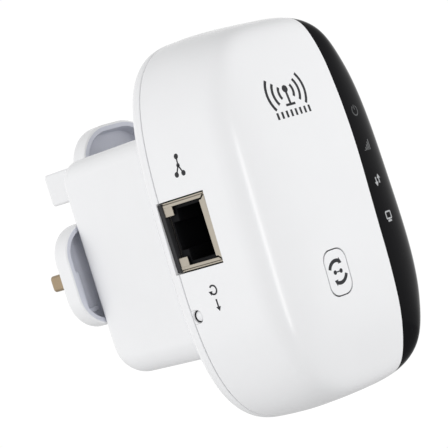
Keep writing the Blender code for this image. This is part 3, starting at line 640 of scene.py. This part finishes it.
def window_tool(shrink):
    """What the display window takes out of the front."""
    rings = []
    steps = 60
    for i in range(steps + 1):
        z = -WINDOW_REACH + 2 * WINDOW_REACH * i / steps
        end_y = WINDOW_END_YS["top" if z >= 0 else "bottom"]
        back = WINDOW_BACK_Y + (end_y - WINDOW_BACK_Y) * (z / WINDOW_END_Z) ** 2 - shrink
        left = window_edge(z) + shrink
        rings.append([(left, back, z), (left, CLEAR_Y, z), (CLEAR_X, CLEAR_Y, z), (CLEAR_X, back, z)])
    return loft(rings)


def socket_tool():
    """The socket's opening in the covers."""
    half = SOCKET_SIZE[0] / 2
    return box((LEFT_CUT[0], SEAM_Y - SOCKET_SIZE[1], SOCKET_Z - half),
                     (LEFT_CUT[1], SEAM_Y + 1.0, SOCKET_Z + half))


def reset_tool():
    """The U-shaped notch in the covers' edge that the reset button sits in."""
    radius = RESET_RADIUS + RESET_GAP
    profile = arc((RESET_Y, RESET_Z), radius, 90, 270, 24)
    profile += [(SEAM_Y + 2.0, RESET_Z - radius), (SEAM_Y + 2.0, RESET_Z + radius)]
    return loft([[(x, y, z) for y, z in profile] for x in LEFT_CUT])


def reset_bore():
    """The round hole that the reset button's inner half takes in the back shell."""
    return reset_disc(RESET_BORE, *LEFT_CUT)


def reset_disc(radius, low_x, high_x):
    """A round body along the reset button's axis."""
    profile = [(0, low_x), (radius, low_x), (radius, high_x), (0, high_x)]
    return turned(profile, (RESET_Y, RESET_Z), "X")


def pin_slot(x):
    """The opening in the plug block's end that a brass pin comes out of."""
    return box((x - PIN_SLOT[0], -9, -PIN_SLOT[1]), (x + PIN_SLOT[0], 0, PIN_SLOT[1]))


def front_pieces():
    """The front cover, and the display window let into its right side."""
    shell = cut(dome_shell(), socket_tool(), reset_tool(), window_tool(0.0),
                prism(pair_outline(PAIR_GAP), *FRONT_CUT))
    made = piece("front_shell", shell, "white_shell", replaced=("front_cover",))
    round_sharp_edges(made, 0.12)
    window = carve(dome_shell(), ("INTERSECT", window_tool(WINDOW_GAP)))
    made = piece("display_window", window, "black_window", replaced=("side_window",))
    round_sharp_edges(made, 0.12)


def back_pieces():
    """The shallow back plate with its rolled edge, and the plug block that stands on it."""
    angles = even_angles(DOME_ANGLES)
    inner = [body_ring(angles, TONGUE_INSETS[1], y) for y in (SEAM_Y - 5.0, BACK_Y - WALL)]
    shell = carve(
        loft([body_ring(angles, inset, y) for inset, y in BACK_EDGE]),
        ("UNION", loft(block_rings(0.0))),
        ("DIFFERENCE", loft(inner)),
        ("DIFFERENCE", loft(block_rings(WALL))),
        ("DIFFERENCE", socket_tool()),
        ("DIFFERENCE", reset_bore()),
        ("DIFFERENCE", pin_slot(PIN_X)),
        ("DIFFERENCE", pin_slot(-PIN_X)),
    )
    made = piece("back_shell", shell, "white_shell", replaced=("back_cover",))
    round_sharp_edges(made, 0.15)
    tongue = [body_ring(angles, TONGUE_INSETS[0], y) for y in (SEAM_Y - 1.4, SEAM_Y + 0.5)]
    core = [body_ring(angles, TONGUE_INSETS[1], y) for y in (SEAM_Y - 5.0, SEAM_Y + 1.5)]
    lip = cut(loft(tongue), loft(core), socket_tool(), reset_bore())
    piece("back_shell_tongue", lip, "white_shell")


def rounding(distance, radius):
    """How far a rounded edge has turned in at a distance from the block's rear."""
    near = max(0.0, 1 - distance / radius)
    return radius * (1 - math.sqrt(1 - near**2))


def block_rings(wall):
    """The plug block's rings, from inside the body to its rounded rear end."""
    rear = BLOCK_REAR_Y - wall
    front = SEAM_Y + 1.0 if wall else BACK_Y - 1.0
    turns = [math.radians(90 * i / 9) for i in range(10)]
    stations = [front, front + 8, front + 16]
    stations += [rear - BLOCK_BOTTOM_RADIUS * (1 - math.sin(turn)) for turn in turns]
    radii = (BLOCK_BOTTOM_RADIUS - wall, BLOCK_TOP_RADIUS - wall * 0.8)
    rings = []
    for y in stations:
        draft = BLOCK_DRAFT * (rear - y) / (rear - front)
        lift = rounding(rear - y, BLOCK_BOTTOM_RADIUS) * BLOCK_FULLNESS["bottom"]
        drop = rounding(rear - y, BLOCK_TOP_RADIUS) * BLOCK_FULLNESS["top"]
        pull = rounding(rear - y, BLOCK_SIDE_RADIUS) * BLOCK_FULLNESS["side"]
        flat = rounded_rectangle(BLOCK_HALF_WIDTH + draft - wall - pull, BLOCK_BOTTOM + wall + lift,
                                 BLOCK_TOP - wall - drop, radii)
        rings.append(ring_at(y, flat))
    return rings


def flange_outline(inset):
    """A T turned upside down: the bar holds the live and neutral pins, the stem the earth pin."""
    bar_x, bar_z = BAR_HALF_WIDTH - inset, BAR_HALF_HEIGHT - inset
    stem_x, stem_z = STEM_HALF_WIDTH - inset, STEM_TOP - inset
    bar_radius, stem_radius = max(BAR_RADIUS - inset, 0.5), max(STEM_RADIUS - inset, 0.5)
    corner = FLANGE_CORNER + inset
    steps = 14
    half = arc((bar_x - bar_radius, -bar_z + bar_radius), bar_radius, -90, 0, steps)
    half += arc((bar_x - bar_radius, bar_z - bar_radius), bar_radius, 0, 90, steps)
    half += arc((stem_x + corner, bar_z + corner), corner, 270, 180, steps)
    half += arc((stem_x - stem_radius, stem_z - stem_radius), stem_radius, 0, 90, steps)
    return half + [(-x, z) for x, z in reversed(half)]


def flange_loft(rows):
    """A body with the flange's outline: rows are (inset, y)."""
    return loft([ring_at(y, flange_outline(inset)) for inset, y in rows])


def flange_ledges():
    """The low ledges at both ends of the dished inside."""
    ledges = []
    for side in (-1, 1):
        for near, far, low_y, low_z, high_z in ((1.0, 2.9, -3.9, -7.5, 1.6), (3.6, 7.0, -2.5, -8.6, -7.4)):
            low_x, high_x = sorted((side * (BAR_HALF_WIDTH - near), side * (BAR_HALF_WIDTH - far)))
            ledges.append(soft_box((low_x, low_y, low_z), (high_x, -1.2, high_z), 0.2))
    return ledges


def flange_holes():
    """The three holes that the pins pass through."""
    holes = []
    for x, z, size in ((PIN_X, 0, PIN_SIZE), (-PIN_X, 0, PIN_SIZE), (0, EARTH_Z, EARTH_SIZE)):
        half_x, half_z = size[0] / 2 + PIN_GAP, size[1] / 2 + PIN_GAP
        holes.append(soft_box((x - half_x, -4, z - half_z), (x + half_x, 1, z + half_z), 0.5))
    return holes


def flange_piece():
    """The plug face, its skirt turned forward round a dished inside."""
    outer = flange_loft(((0.5, -FLANGE_DEPTH), (0.15, -FLANGE_DEPTH + 0.15), (0.0, -FLANGE_DEPTH + 0.5),
                         (0.0, -0.9), (0.1, -0.5), (0.35, -0.15), (0.8, 0.0)))
    dish = flange_loft(((1.5, -FLANGE_DEPTH - 1), (1.5, -FLANGE_DEPTH), (1.7, -FLANGE_DEPTH + 0.3),
                        (1.8, -2.6), (2.1, -2.0), (2.8, -FLANGE_SKIRT)))
    mesh = carve(outer, ("DIFFERENCE", dish), *(("UNION", ledge) for ledge in flange_ledges()),
                 *(("DIFFERENCE", hole) for hole in flange_holes()))
    made = piece("flange", mesh, "white_shell", replaced=("plug_flange",))
    paint_shade_inside(made)
    round_sharp_edges(made, 0.12)


def paint_shade_inside(made):
    """Gives the dished inside of the plug face its own duller finish with fine relief, painted darker and
    bluer as painted shade.
    """
    made.data.materials.append(FINISHES["flange_painted_shade"])
    for face in made.data.polygons:
        x, y, z = (value / MM for value in face.center)
        if y < -1.0 and inside_flange(x, z, 1.3):
            # painted shade: faces deep in the dish get the darker bluish finish
            face.material_index = 1


def inside_flange(x, z, inset):
    """Whether a point lies inside the flange's outline by at least inset."""
    outline = flange_outline(inset)
    inside = False
    for (x0, z0), (x1, z1) in zip(outline, outline[1:] + outline[:1]):
        if (z0 > z) != (z1 > z) and x < x0 + (x1 - x0) * (z - z0) / (z1 - z0):
            inside = not inside
    return inside


def bar_rings(x, z, stations, corner, steps=6):
    """Rings of a rounded bar along Y: stations are (y, half width, half height)."""
    rings = []
    for y, wide, high in stations:
        radius = min(corner, wide * 0.9, high * 0.9)
        flat = rounded_rectangle(wide, -high, high, (radius, radius), steps)
        rings.append([(x + a, y, z + b) for a, b in flat])
    return rings


def rounded_end(end, half_x, half_z, depth, steps=7):
    """Stations of a bar's rounded end."""
    found = []
    for i in range(steps + 1):
        turn = math.radians(90 * i / steps)
        shrink = depth * (1 - math.cos(turn))
        found.append((end - depth + depth * math.sin(turn), half_x - shrink, half_z - shrink))
    return found


def brass_pin(name, x):
    """A live or neutral pin, narrowed where its sleeve sits."""
    half_x, half_z = PIN_SIZE[0] / 2, PIN_SIZE[1] / 2
    thin_x, thin_z = half_x - PIN_NECK, half_z - PIN_NECK
    stations = [(-9.0, half_x, half_z), (0.0, half_x, half_z), (0.05, thin_x, thin_z),
                (SLEEVE_LENGTH + 0.35, thin_x, thin_z), (SLEEVE_LENGTH + 0.4, half_x, half_z)]
    stations += rounded_end(PIN_LENGTH, half_x, half_z, 1.1)
    piece(f"{name}_pin_bar", loft(bar_rings(x, 0, stations, 0.7)), "pin_brass", replaced=(f"{name}_pin",))


def pin_sleeve(name, x):
    """The sleeve round a pin's root, with slightly rounded ends."""
    half_x, half_z = PIN_SIZE[0] / 2, PIN_SIZE[1] / 2
    end_x, end_z = half_x - 0.15, half_z - 0.15
    outer = bar_rings(x, 0, [(0.1, end_x, end_z), (0.25, half_x, half_z),
                             (SLEEVE_LENGTH + 0.15, half_x, half_z),
                             (SLEEVE_LENGTH + 0.3, end_x, end_z)], 0.7)
    bore_x, bore_z = half_x - PIN_NECK + 0.03, half_z - PIN_NECK + 0.03
    bore = bar_rings(x, 0, [(-1, bore_x, bore_z), (SLEEVE_LENGTH + 2, bore_x, bore_z)], 0.5)
    mesh = cut(loft(outer), loft(bore))
    piece(f"{name}_sleeve", mesh, "sleeve_plastic", replaced=(f"{name}_pin_sleeve",))


def earth_bar():
    half_x, half_z = EARTH_SIZE[0] / 2, EARTH_SIZE[1] / 2
    stations = [(-4.4, half_x, half_z), (-1.0, half_x, half_z), (EARTH_LENGTH - 4, half_x, half_z)]
    stations += rounded_end(EARTH_LENGTH, half_x, half_z, 0.9)
    piece("earth_bar", loft(bar_rings(0, EARTH_Z, stations, 0.6)), "white_shell", replaced=("earth_pin",))


def pin_pieces():
    for name, x in (("live", PIN_X), ("neutral", -PIN_X)):
        brass_pin(name, x)
        pin_sleeve(name, x)
    earth_bar()


def socket_frame():
    """The shield's folded mouth: a plate along the front, and on each side an edge, a band and a tab."""
    low, high, front, rear = SOCKET_LOW_Z, SOCKET_HIGH_Z, SOCKET_FRONT_Y, SOCKET_REAR_Y
    band, edge, groove, mitre = 1.15, 1.7, 0.4, 1.5
    plates = [plate([(front - 0.1, low + 0.62), (front + 1.05, low + mitre), (front + edge, low + mitre),
                     (front + edge, high - mitre), (front + 1.05, high - mitre), (front - 0.1, high - 0.62)],
                    SOCKET_MOUTH_X)]
    for side in (-1, 1):
        edge_z = SOCKET_Z + side * (SOCKET_HALF + 0.02)
        inner_z = edge_z - side * band
        groove_z = edge_z - side * groove
        tab_z = edge_z - side * (band + 2.0)
        plates.append(plate([(front + 0.18, edge_z), (front + 0.18, groove_z + side * 0.05),
                             (rear, groove_z + side * 0.05), (rear, edge_z)], SOCKET_MOUTH_X + 0.1))
        plates.append(plate([(front + 0.3, groove_z - side * 0.05), (front + 1.1, inner_z), (rear, inner_z),
                             (rear, groove_z - side * 0.05)], SOCKET_MOUTH_X))
        plates.append(plate([(rear - 2.8, inner_z + side * 0.1), (rear - 2.8, tab_z), (rear, tab_z),
                             (rear, inner_z + side * 0.1)], SOCKET_MOUTH_X + 0.02))
    made = piece("socket_frame", join(*plates), "socket_nickel", replaced=("rj45_shield",))
    round_sharp_edges(made, 0.07, segments=2)


def socket_shade_strip():
    """A dark strip that fills the gap between the socket and the covers' seam: painted shade for the dark
    recess there.
    """
    strip = soft_box((SOCKET_MOUTH_X - 0.25, SOCKET_REAR_Y + 0.02, SOCKET_LOW_Z + 0.1),
                     (SOCKET_MOUTH_X + 3.0, SEAM_Y + 0.95, SOCKET_HIGH_Z - 0.1), 0.12)
    # painted shade: the black strip stands for the shadow in the recess along the seam
    piece("socket_shade_strip", strip, "socket_plastic", material="chip_black")


def socket_sleeve():
    """The shield's thin metal sleeve, cut away behind the tabs."""
    low, high, front, rear = SOCKET_LOW_Z, SOCKET_HIGH_Z, SOCKET_FRONT_Y, SOCKET_REAR_Y
    mouth, end = SOCKET_MOUTH_X, SOCKET_END_X
    sleeve = cut(
        box((mouth + FOLD, front, low), (end, rear, high)),
        box((mouth - 1, front + 0.4, low + 0.4), (end + 1, rear - 0.4, high - 0.4)),
        box((mouth - 1, rear - 1, low + 3.2), (mouth + 1.3, rear + 1, high - 3.2)),
    )
    made = piece("socket_sleeve", sleeve, "socket_nickel")
    round_sharp_edges(made, 0.08, segments=2)


def socket_moulding():
    """The black moulding with the plug's cavity and the groove for its catch."""
    low, high, front, rear = SOCKET_LOW_Z, SOCKET_HIGH_Z, SOCKET_FRONT_Y, SOCKET_REAR_Y
    start, near = SOCKET_START_X, SOCKET_NEAR_Y
    far = near + 7.6
    catch = box((start - 1, far - 0.5, SOCKET_Z - 3.2), (start + 10, rear - 1.1, SOCKET_Z + 3.2))
    body = cut(
        box((start, front + 0.6, low + 0.6), (SOCKET_END_X - 0.6, rear - 0.6, high - 0.6)),
        box((start - 1, near, SOCKET_Z - 5.95), (start + 13, far, SOCKET_Z + 5.95)),
        catch,
    )
    made = piece("socket_moulding", body, "socket_plastic", replaced=("rj45_insert",))
    round_sharp_edges(made, 0.15)


def socket_wires():
    """The eight sprung wires, each rising into the plug's cavity."""
    start, near = SOCKET_START_X, SOCKET_NEAR_Y
    bends = ((2.0, 0.2), (2.6, 0.25), (4, 0.6), (8, 1.5), (10.5, 2.0), (11.6, 2.0), (12.2, 1.6))
    route = [(start + along, near + up) for along, up in bends]
    for i in range(8):
        mesh = wire(route, SOCKET_Z + (i - 3.5) * WIRE_PITCH, 0.2)
        piece(f"socket_wire_{i + 1}", mesh, "contact_gold", replaced=(f"rj45_contact_{i + 1}",))


def plate(outline, x):
    """A plate of folded metal facing the socket's mouth: outline points are (y, z)."""
    return loft([[(x, y, z) for y, z in outline], [(x + FOLD, y, z) for y, z in outline]])


def heading(points, k):
    """Which way a line of flat points runs at its point k."""
    before, after = points[max(k - 1, 0)], points[min(k + 1, len(points) - 1)]
    return Vector((after[0] - before[0], after[1] - before[1])).normalized()


def wire(route, z, radius, sides=8):
    """A round wire through (x, y) points at one height."""
    rings = []
    for k, (x, y) in enumerate(route):
        along = heading(route, k)
        ring = []
        for s in range(sides):
            turn = 2 * math.pi * s / sides
            across = radius * math.cos(turn)
            ring.append((x - along.y * across, y + along.x * across, z + radius * math.sin(turn)))
        rings.append(ring)
    return loft(rings)


def pair_button():
    """The pairing button: its cap, a dark ring of painted shade in the gap round it, and its stem."""
    cap = carve(dome_shell(), ("INTERSECT", prism(pair_outline(0.0), *FRONT_CUT)))
    made = piece("pair_cap", cap, "white_shell", body="wps_button", replaced=("wps_button",))
    round_sharp_edges(made, 0.22, segments=4)
    front = SEAM_Y - FRONT_DEPTH
    # painted shade: a black ring in the gap round the cap stands for the shadow deep in the groove
    shade_ring = cut(prism(pair_outline(0.26), front + 1.0, front + 1.6),
               prism(pair_outline(0.05), front, front + 3.0))
    piece("pair_shade_ring", shade_ring, "chip_black")
    profile = [(0, front + 1.6), (3.0, front + 1.6), (3.2, front + 1.9), (3.2, front + 2.4),
               (1.8, front + 2.9), (1.6, front + 3.4), (1.6, SEAM_Y - 5.9), (1.3, SEAM_Y - 5.6),
               (0, SEAM_Y - 5.6)]
    piece("pair_stem", turned(profile, (PAIR_X, PAIR_Z), "Y"), "white_shell", body="wps_button")


def reset_button():
    """The reset button, the bridge of the front cover behind it and a dark ring of painted shade round it."""
    profile = [(0, -26.5), (0.7, -26.49), (1.0, -26.42), (1.18, -26.28), (1.28, -26.05),
               (RESET_RADIUS, -25.8), (RESET_RADIUS, -23.8), (1.1, -23.6), (0, -23.6)]
    cap = turned(profile, (RESET_Y, RESET_Z), "X")
    piece("reset_cap", cap, "white_shell", body="reset_button", replaced=("reset_button",))
    half = RESET_RADIUS + 0.2
    bridge = carve(
        dome_shell(),
        ("INTERSECT", box((-30.0, RESET_Y, RESET_Z - half), (-20.0, SEAM_Y + 0.5, RESET_Z + half))),
        ("DIFFERENCE", reset_bore()),
    )
    piece("reset_bridge", bridge, "white_shell")
    # painted shade: a black ring in the gap round the cap stands for the shadow in it
    shade_ring = cut(reset_disc(RESET_RADIUS + 0.24, -26.55, -25.6), reset_disc(RESET_RADIUS + 0.04, -27.5, -25.0))
    piece("reset_shade_ring", shade_ring, "chip_black")


# ---------------- printed marks

def lay(shapes, side, name, material, body="casing"):
    """Lays flat shapes on the body: each shape is a grid of rows of (u, v) points. side is front or left."""
    mesh = bmesh.new()
    for rows in shapes:
        lay_shape(mesh, rows, side)
    slot = "chip_black" if material == "print_grey" else "switch_grey"
    piece(name, mesh, slot, body=body, material=material, smooth=60)


def lay_shape(mesh, rows, side):
    """One flat shape as a thin closed body: a skin above the surface, one below it, and the rim between."""
    skins = []
    for lift in (INK, -INK):
        skins.append([[mesh.verts.new(landed(u, v, side, lift)) for u, v in row] for row in rows])
    outer, inner = skins
    height, width = len(rows), len(rows[0])
    for skin, flip in ((outer, False), (inner, True)):
        for i in range(height - 1):
            for j in range(width - 1):
                quad = [skin[i][j], skin[i][j + 1], skin[i + 1][j + 1], skin[i + 1][j]]
                mesh.faces.new(quad[::-1] if flip else quad)
    rim = [(0, j) for j in range(width)] + [(i, width - 1) for i in range(1, height)]
    rim += [(height - 1, j) for j in range(width - 2, -1, -1)] + [(i, 0) for i in range(height - 2, 0, -1)]
    for (i, j), (k, m) in zip(rim, rim[1:] + rim[:1]):
        mesh.faces.new((outer[i][j], inner[i][j], inner[k][m], outer[k][m]))


def landed(u, v, side, lift):
    """Where (u, v) lands on the body, lifted along its normal: (x, z) on the front, (y, z) on the left."""
    if side == "front":
        start, way = Vector((u, -90.0, v)), Vector((0, 1, 0))
    else:
        start, way = Vector((-60.0, u, v)), Vector((1, 0, 0))
    place, normal, _, _ = SKIN.ray_cast(start, way)
    if normal.dot(way) > 0:
        normal = -normal
    return place + normal * lift


def stroke(points, width):
    """A ribbon along a line of (u, v) points, as rows across it."""
    rows = []
    half = width / 2
    for k, (u, v) in enumerate(points):
        along = heading(points, k)
        rows.append([(u + along.y * half * s, v - along.x * half * s) for s in (-1, 0, 1)])
    return rows


def disc(centre, radius):
    """A filled spot, as a narrow grid of chords."""
    rows = []
    steps = 12
    for i in range(steps + 1):
        turn = math.radians(4 + 172 * i / steps)
        half = radius * math.sin(turn)
        v = centre[1] + radius * math.cos(turn)
        rows.append([(centre[0] + half * s, v) for s in (-1, -0.33, 0.33, 1)])
    return rows


def filled(corners):
    """A four-cornered patch, given as two rows of two points."""
    (a, b), (c, d) = corners
    rows = []
    for i in range(5):
        s = i / 4
        left = (a[0] + (c[0] - a[0]) * s, a[1] + (c[1] - a[1]) * s)
        right = (b[0] + (d[0] - b[0]) * s, b[1] + (d[1] - b[1]) * s)
        rows.append([(left[0] + (right[0] - left[0]) * t / 4, left[1] + (right[1] - left[1]) * t / 4)
                     for t in range(5)])
    return rows


def line(a, b, width, steps=6):
    points = [(a[0] + (b[0] - a[0]) * i / steps, a[1] + (b[1] - a[1]) * i / steps) for i in range(steps + 1)]
    return stroke(points, width)


def front_mark():
    """A generic transmitter with waves on both sides, over a plain row of bars."""
    x, z = FRONT_MARK
    shapes = [disc((x, z + 1.3), 0.85), line((x, z + 0.9), (x, z - 2.3), 0.62),
              line((x - 1.5, z - 2.3), (x + 1.5, z - 2.3), 0.55)]
    for radius in (2.3, 4.1, 5.9):
        shapes.append(stroke(arc((x, z + 0.6), radius, -36, 36), 0.68))
        shapes.append(stroke(arc((x, z + 0.6), radius, 144, 216), 0.68))
    for k in range(8):
        left = x - 5.0 + 1.46 * k
        shapes.append(line((left, z - 5.0), (left, z - 3.45), 0.62, 4))
    lay(shapes, "front", "front_symbol", "print_grey")


def pair_mark():
    """A generic pairing sign on the button: two linked spots inside two turning arcs."""
    x, z = PAIR_X, PAIR_Z + 0.1
    shapes = [disc((x - 0.95, z), 0.5), disc((x + 0.95, z), 0.5), line((x - 0.6, z), (x + 0.6, z), 0.28, 3)]
    for start in (68, 248):
        shapes.append(stroke(arc((x, z), 2.5, start, start + 92), 0.82))
        outer, inner, tip = (polar((x, z), radius, angle) for radius, angle in
                             ((3.25, start), (1.75, start), (2.45, start - 24)))
        shapes.append(filled(((outer, inner), (tip, (tip[0] + 0.01, tip[1])))))
    lay(shapes, "front", "pair_symbol", "print_grey", body="wps_button")


def network_mark():
    """Three linked spots above the socket."""
    y, z = NETWORK_MARK
    shapes = [disc((y, z + 2.0), 0.62), disc((y, z), 0.5), line((y, z + 2.0), (y, z), 0.36, 4)]
    for side in (-1, 1):
        shapes.append(line((y, z), (y + side * 1.05, z - 1.9), 0.36, 4))
        shapes.append(disc((y + side * 1.05, z - 1.9), 0.62))
    lay(shapes, "left", "network_symbol", "print_grey")


def reset_mark():
    """A turning arrow above the reset button, and an arrow that points down to it."""
    y, z = RESET_MARK
    shapes = [stroke(arc((y, z), 1.0, 40, 330, 28), 0.4),
              filled((((y + 0.3, z - 0.2), (y + 1.5, z - 0.2)), ((y + 0.88, z - 1.15), (y + 0.9, z - 1.16)))),
              line((y, z - 2.1), (y, z - 4.1), 0.42, 4),
              filled((((y - 0.7, z - 3.8), (y + 0.7, z - 3.8)), ((y - 0.02, z - 4.8), (y + 0.02, z - 4.81))))]
    lay(shapes, "left", "reset_symbol", "print_grey")


def power_shapes(x, z):
    return [stroke(arc((x, z), 1.15, 120, 420, 24), 0.34), line((x, z + 0.2), (x, z + 1.35), 0.3, 3)]


def signal_shapes(x, z):
    """Five bars, each taller than the one before."""
    lefts = [(k, x - 1.2 + 0.6 * k) for k in range(5)]
    return [line((left, z - 1.2), (left, z - 1.0 + 0.55 * k), 0.36, 3) for k, left in lefts]


def traffic_shapes(x, z):
    """One arrow up and one down, side by side."""
    shapes = []
    for side in (-1, 1):
        tip_x, tip_z, base_z = x + 0.65 * side, z + 1.35 * side, z + 0.35 * side
        base = ((tip_x - 0.75, base_z), (tip_x + 0.75, base_z))
        shapes.append(filled((base, ((tip_x - 0.02, tip_z), (tip_x + 0.02, tip_z)))))
        shapes.append(line((tip_x, z + 0.4 * side), (tip_x, z - 0.75 * side), 0.4, 3))
    return shapes


def device_shapes(x, z):
    """A small screen on a foot."""
    left, right, low, high = x - 1.05, x + 1.05, z + 0.25 - 0.8, z + 0.25 + 0.8
    sides = (((left, high), (right, high)), ((left, low), (right, low)), ((left, low), (left, high)),
             ((right, low), (right, high)))
    foot = [line((x - 0.8, z - 1.1), (x + 0.8, z - 1.1), 0.4, 3), line((x, z - 0.6), (x, z - 1.0), 0.4, 2)]
    return [line(a, b, 0.36, 3) for a, b in sides] + foot


def window_marks():
    """The four signs behind the display window: power, signal, traffic and wired device."""
    x = WINDOW_MARK_X
    lay(power_shapes(x, 17.9), "front", "power_symbol", "icon_dim")
    lay(signal_shapes(x, 9.7), "front", "signal_symbol", "icon_mid")
    lay(traffic_shapes(x, 1.4), "front", "traffic_symbol", "icon_bright")
    lay(device_shapes(x, -7.1), "front", "device_symbol", "icon_bright")


# ---------------- stage, light and camera

def softbox(name, place, target, size, power, glossy=True):
    data = bpy.data.lights.new(name, "AREA")
    data.shape = "RECTANGLE"
    data.size, data.size_y = size
    data.energy = power
    made = placed(name, data)
    made.location = place
    made.rotation_mode = "QUATERNION"
    made.rotation_quaternion = (Vector(target) - Vector(place)).to_track_quat("-Z", "Y")
    made.visible_camera = False
    made.visible_glossy = glossy


def rescaled(nodes, links, source, from_range, to_range, smooth=False):
    """A world node that maps one range of numbers to another."""
    made = nodes.new("ShaderNodeMapRange")
    if smooth:
        made.interpolation_type = "SMOOTHSTEP"
    made.inputs["From Min"].default_value, made.inputs["From Max"].default_value = from_range
    made.inputs["To Min"].default_value, made.inputs["To Max"].default_value = to_range
    links.new(source, made.inputs["Value"])
    return made.outputs["Result"]


def sky():
    """The studio's walls: pale, whitest towards the backdrop, and darker overhead and underneath."""
    world = bpy.data.worlds.new("studio")
    world.use_nodes = True
    bpy.context.scene.world = world
    nodes, links = world.node_tree.nodes, world.node_tree.links
    place = nodes.new("ShaderNodeTexCoord")
    split = nodes.new("ShaderNodeSeparateXYZ")
    links.new(place.outputs["Generated"], split.inputs["Vector"])
    ramp = nodes.new("ShaderNodeValToRGB")
    fill_ramp(ramp.color_ramp, [(where, (level, level, level)) for where, level in SKY_LEVELS])
    links.new(rescaled(nodes, links, split.outputs["Z"], (-1.0, 1.0), (0.0, 1.0)), ramp.inputs["Fac"])
    facing = nodes.new("ShaderNodeVectorMath")
    facing.operation = "DOT_PRODUCT"
    facing.inputs[1].default_value = BACKDROP_WAY
    links.new(place.outputs["Generated"], facing.inputs[0])
    levels = (STUDIO_LEVEL, BACKDROP_LEVEL)
    level = rescaled(nodes, links, facing.outputs["Value"], BACKDROP_EDGE, levels, smooth=True)
    tint = nodes.new("ShaderNodeMix")
    tint.data_type = "RGBA"
    tint.blend_type = "MULTIPLY"
    tint.inputs["Factor"].default_value = 1.0
    links.new(ramp.outputs["Color"], tint.inputs["A"])
    links.new(level, tint.inputs["B"])
    links.new(tint.outputs["Result"], nodes["Background"].inputs["Color"])


def studio():
    """A plain pale studio with soft boxes round the object."""
    sky()
    centre = (0, -0.04, 0)
    softbox("front_strip", (-0.24, -1.17, -0.25), centre, (0.09, 0.95), 2.3)
    softbox("front_box", (0.85, -0.9, -0.38), centre, (0.6, 0.8), 5.0, glossy=False)
    softbox("left_box", (-1.05, 0.5, 0.1), centre, (0.7, 0.9), 3.6, glossy=False)


def floor():
    """A pale disc well below the object."""
    mesh = bmesh.new()
    bmesh.ops.create_circle(mesh, cap_ends=True, segments=96, radius=0.35)
    made = mesh_object("floor", mesh)
    made.location = (0, -0.03, -0.12)
    pale = finish("pale_floor", (0.82, 0.82, 0.82), 0.8, specular=0.2, tone=0.01, relief=0.0)
    made.data.materials.append(pale)


def camera():
    """A long lens that looks at the object's front left, rolled so that the object leans."""
    azimuth, elevation, roll = (math.radians(part) for part in CAMERA_TURN)
    level = math.cos(elevation)
    back = Vector((math.sin(azimuth) * level, -math.cos(azimuth) * level, math.sin(elevation)))
    right = (-back).cross(Vector((0, 0, 1))).normalized()
    up = right.cross(-back)
    rolled_right = math.cos(roll) * right + math.sin(roll) * up
    rolled_up = -math.sin(roll) * right + math.cos(roll) * up
    data = bpy.data.cameras.new("camera")
    data.sensor_width = 36.0
    data.lens = CAMERA_LENS
    data.clip_start, data.clip_end = 0.01, 20.0
    made = placed("camera", data)
    matrix = Matrix((rolled_right, rolled_up, back)).transposed().to_4x4()
    matrix.translation = Vector(CAMERA_PLACE) * MM
    made.matrix_world = matrix
    bpy.context.scene.camera = made


def dress_frame():
    """Gives every carried-over CAD node the finish of its own material slot."""
    slots = {part["node"]: part["material_slot"] for part in frame["record"]["subparts"]}
    for name, shown in frame["nodes"].items():
        shown.data.materials.clear()
        shown.data.materials.append(FINISHES[slots[name]])


materials()
SKIN = outer_tree()
bpy.context.scene.view_settings.view_transform = "Standard"
dress_frame()
front_pieces()
back_pieces()
flange_piece()
pin_pieces()
socket_frame()
socket_shade_strip()
socket_sleeve()
socket_moulding()
socket_wires()
pair_button()
reset_button()
front_mark()
pair_mark()
network_mark()
reset_mark()
window_marks()
studio()
floor()
camera()
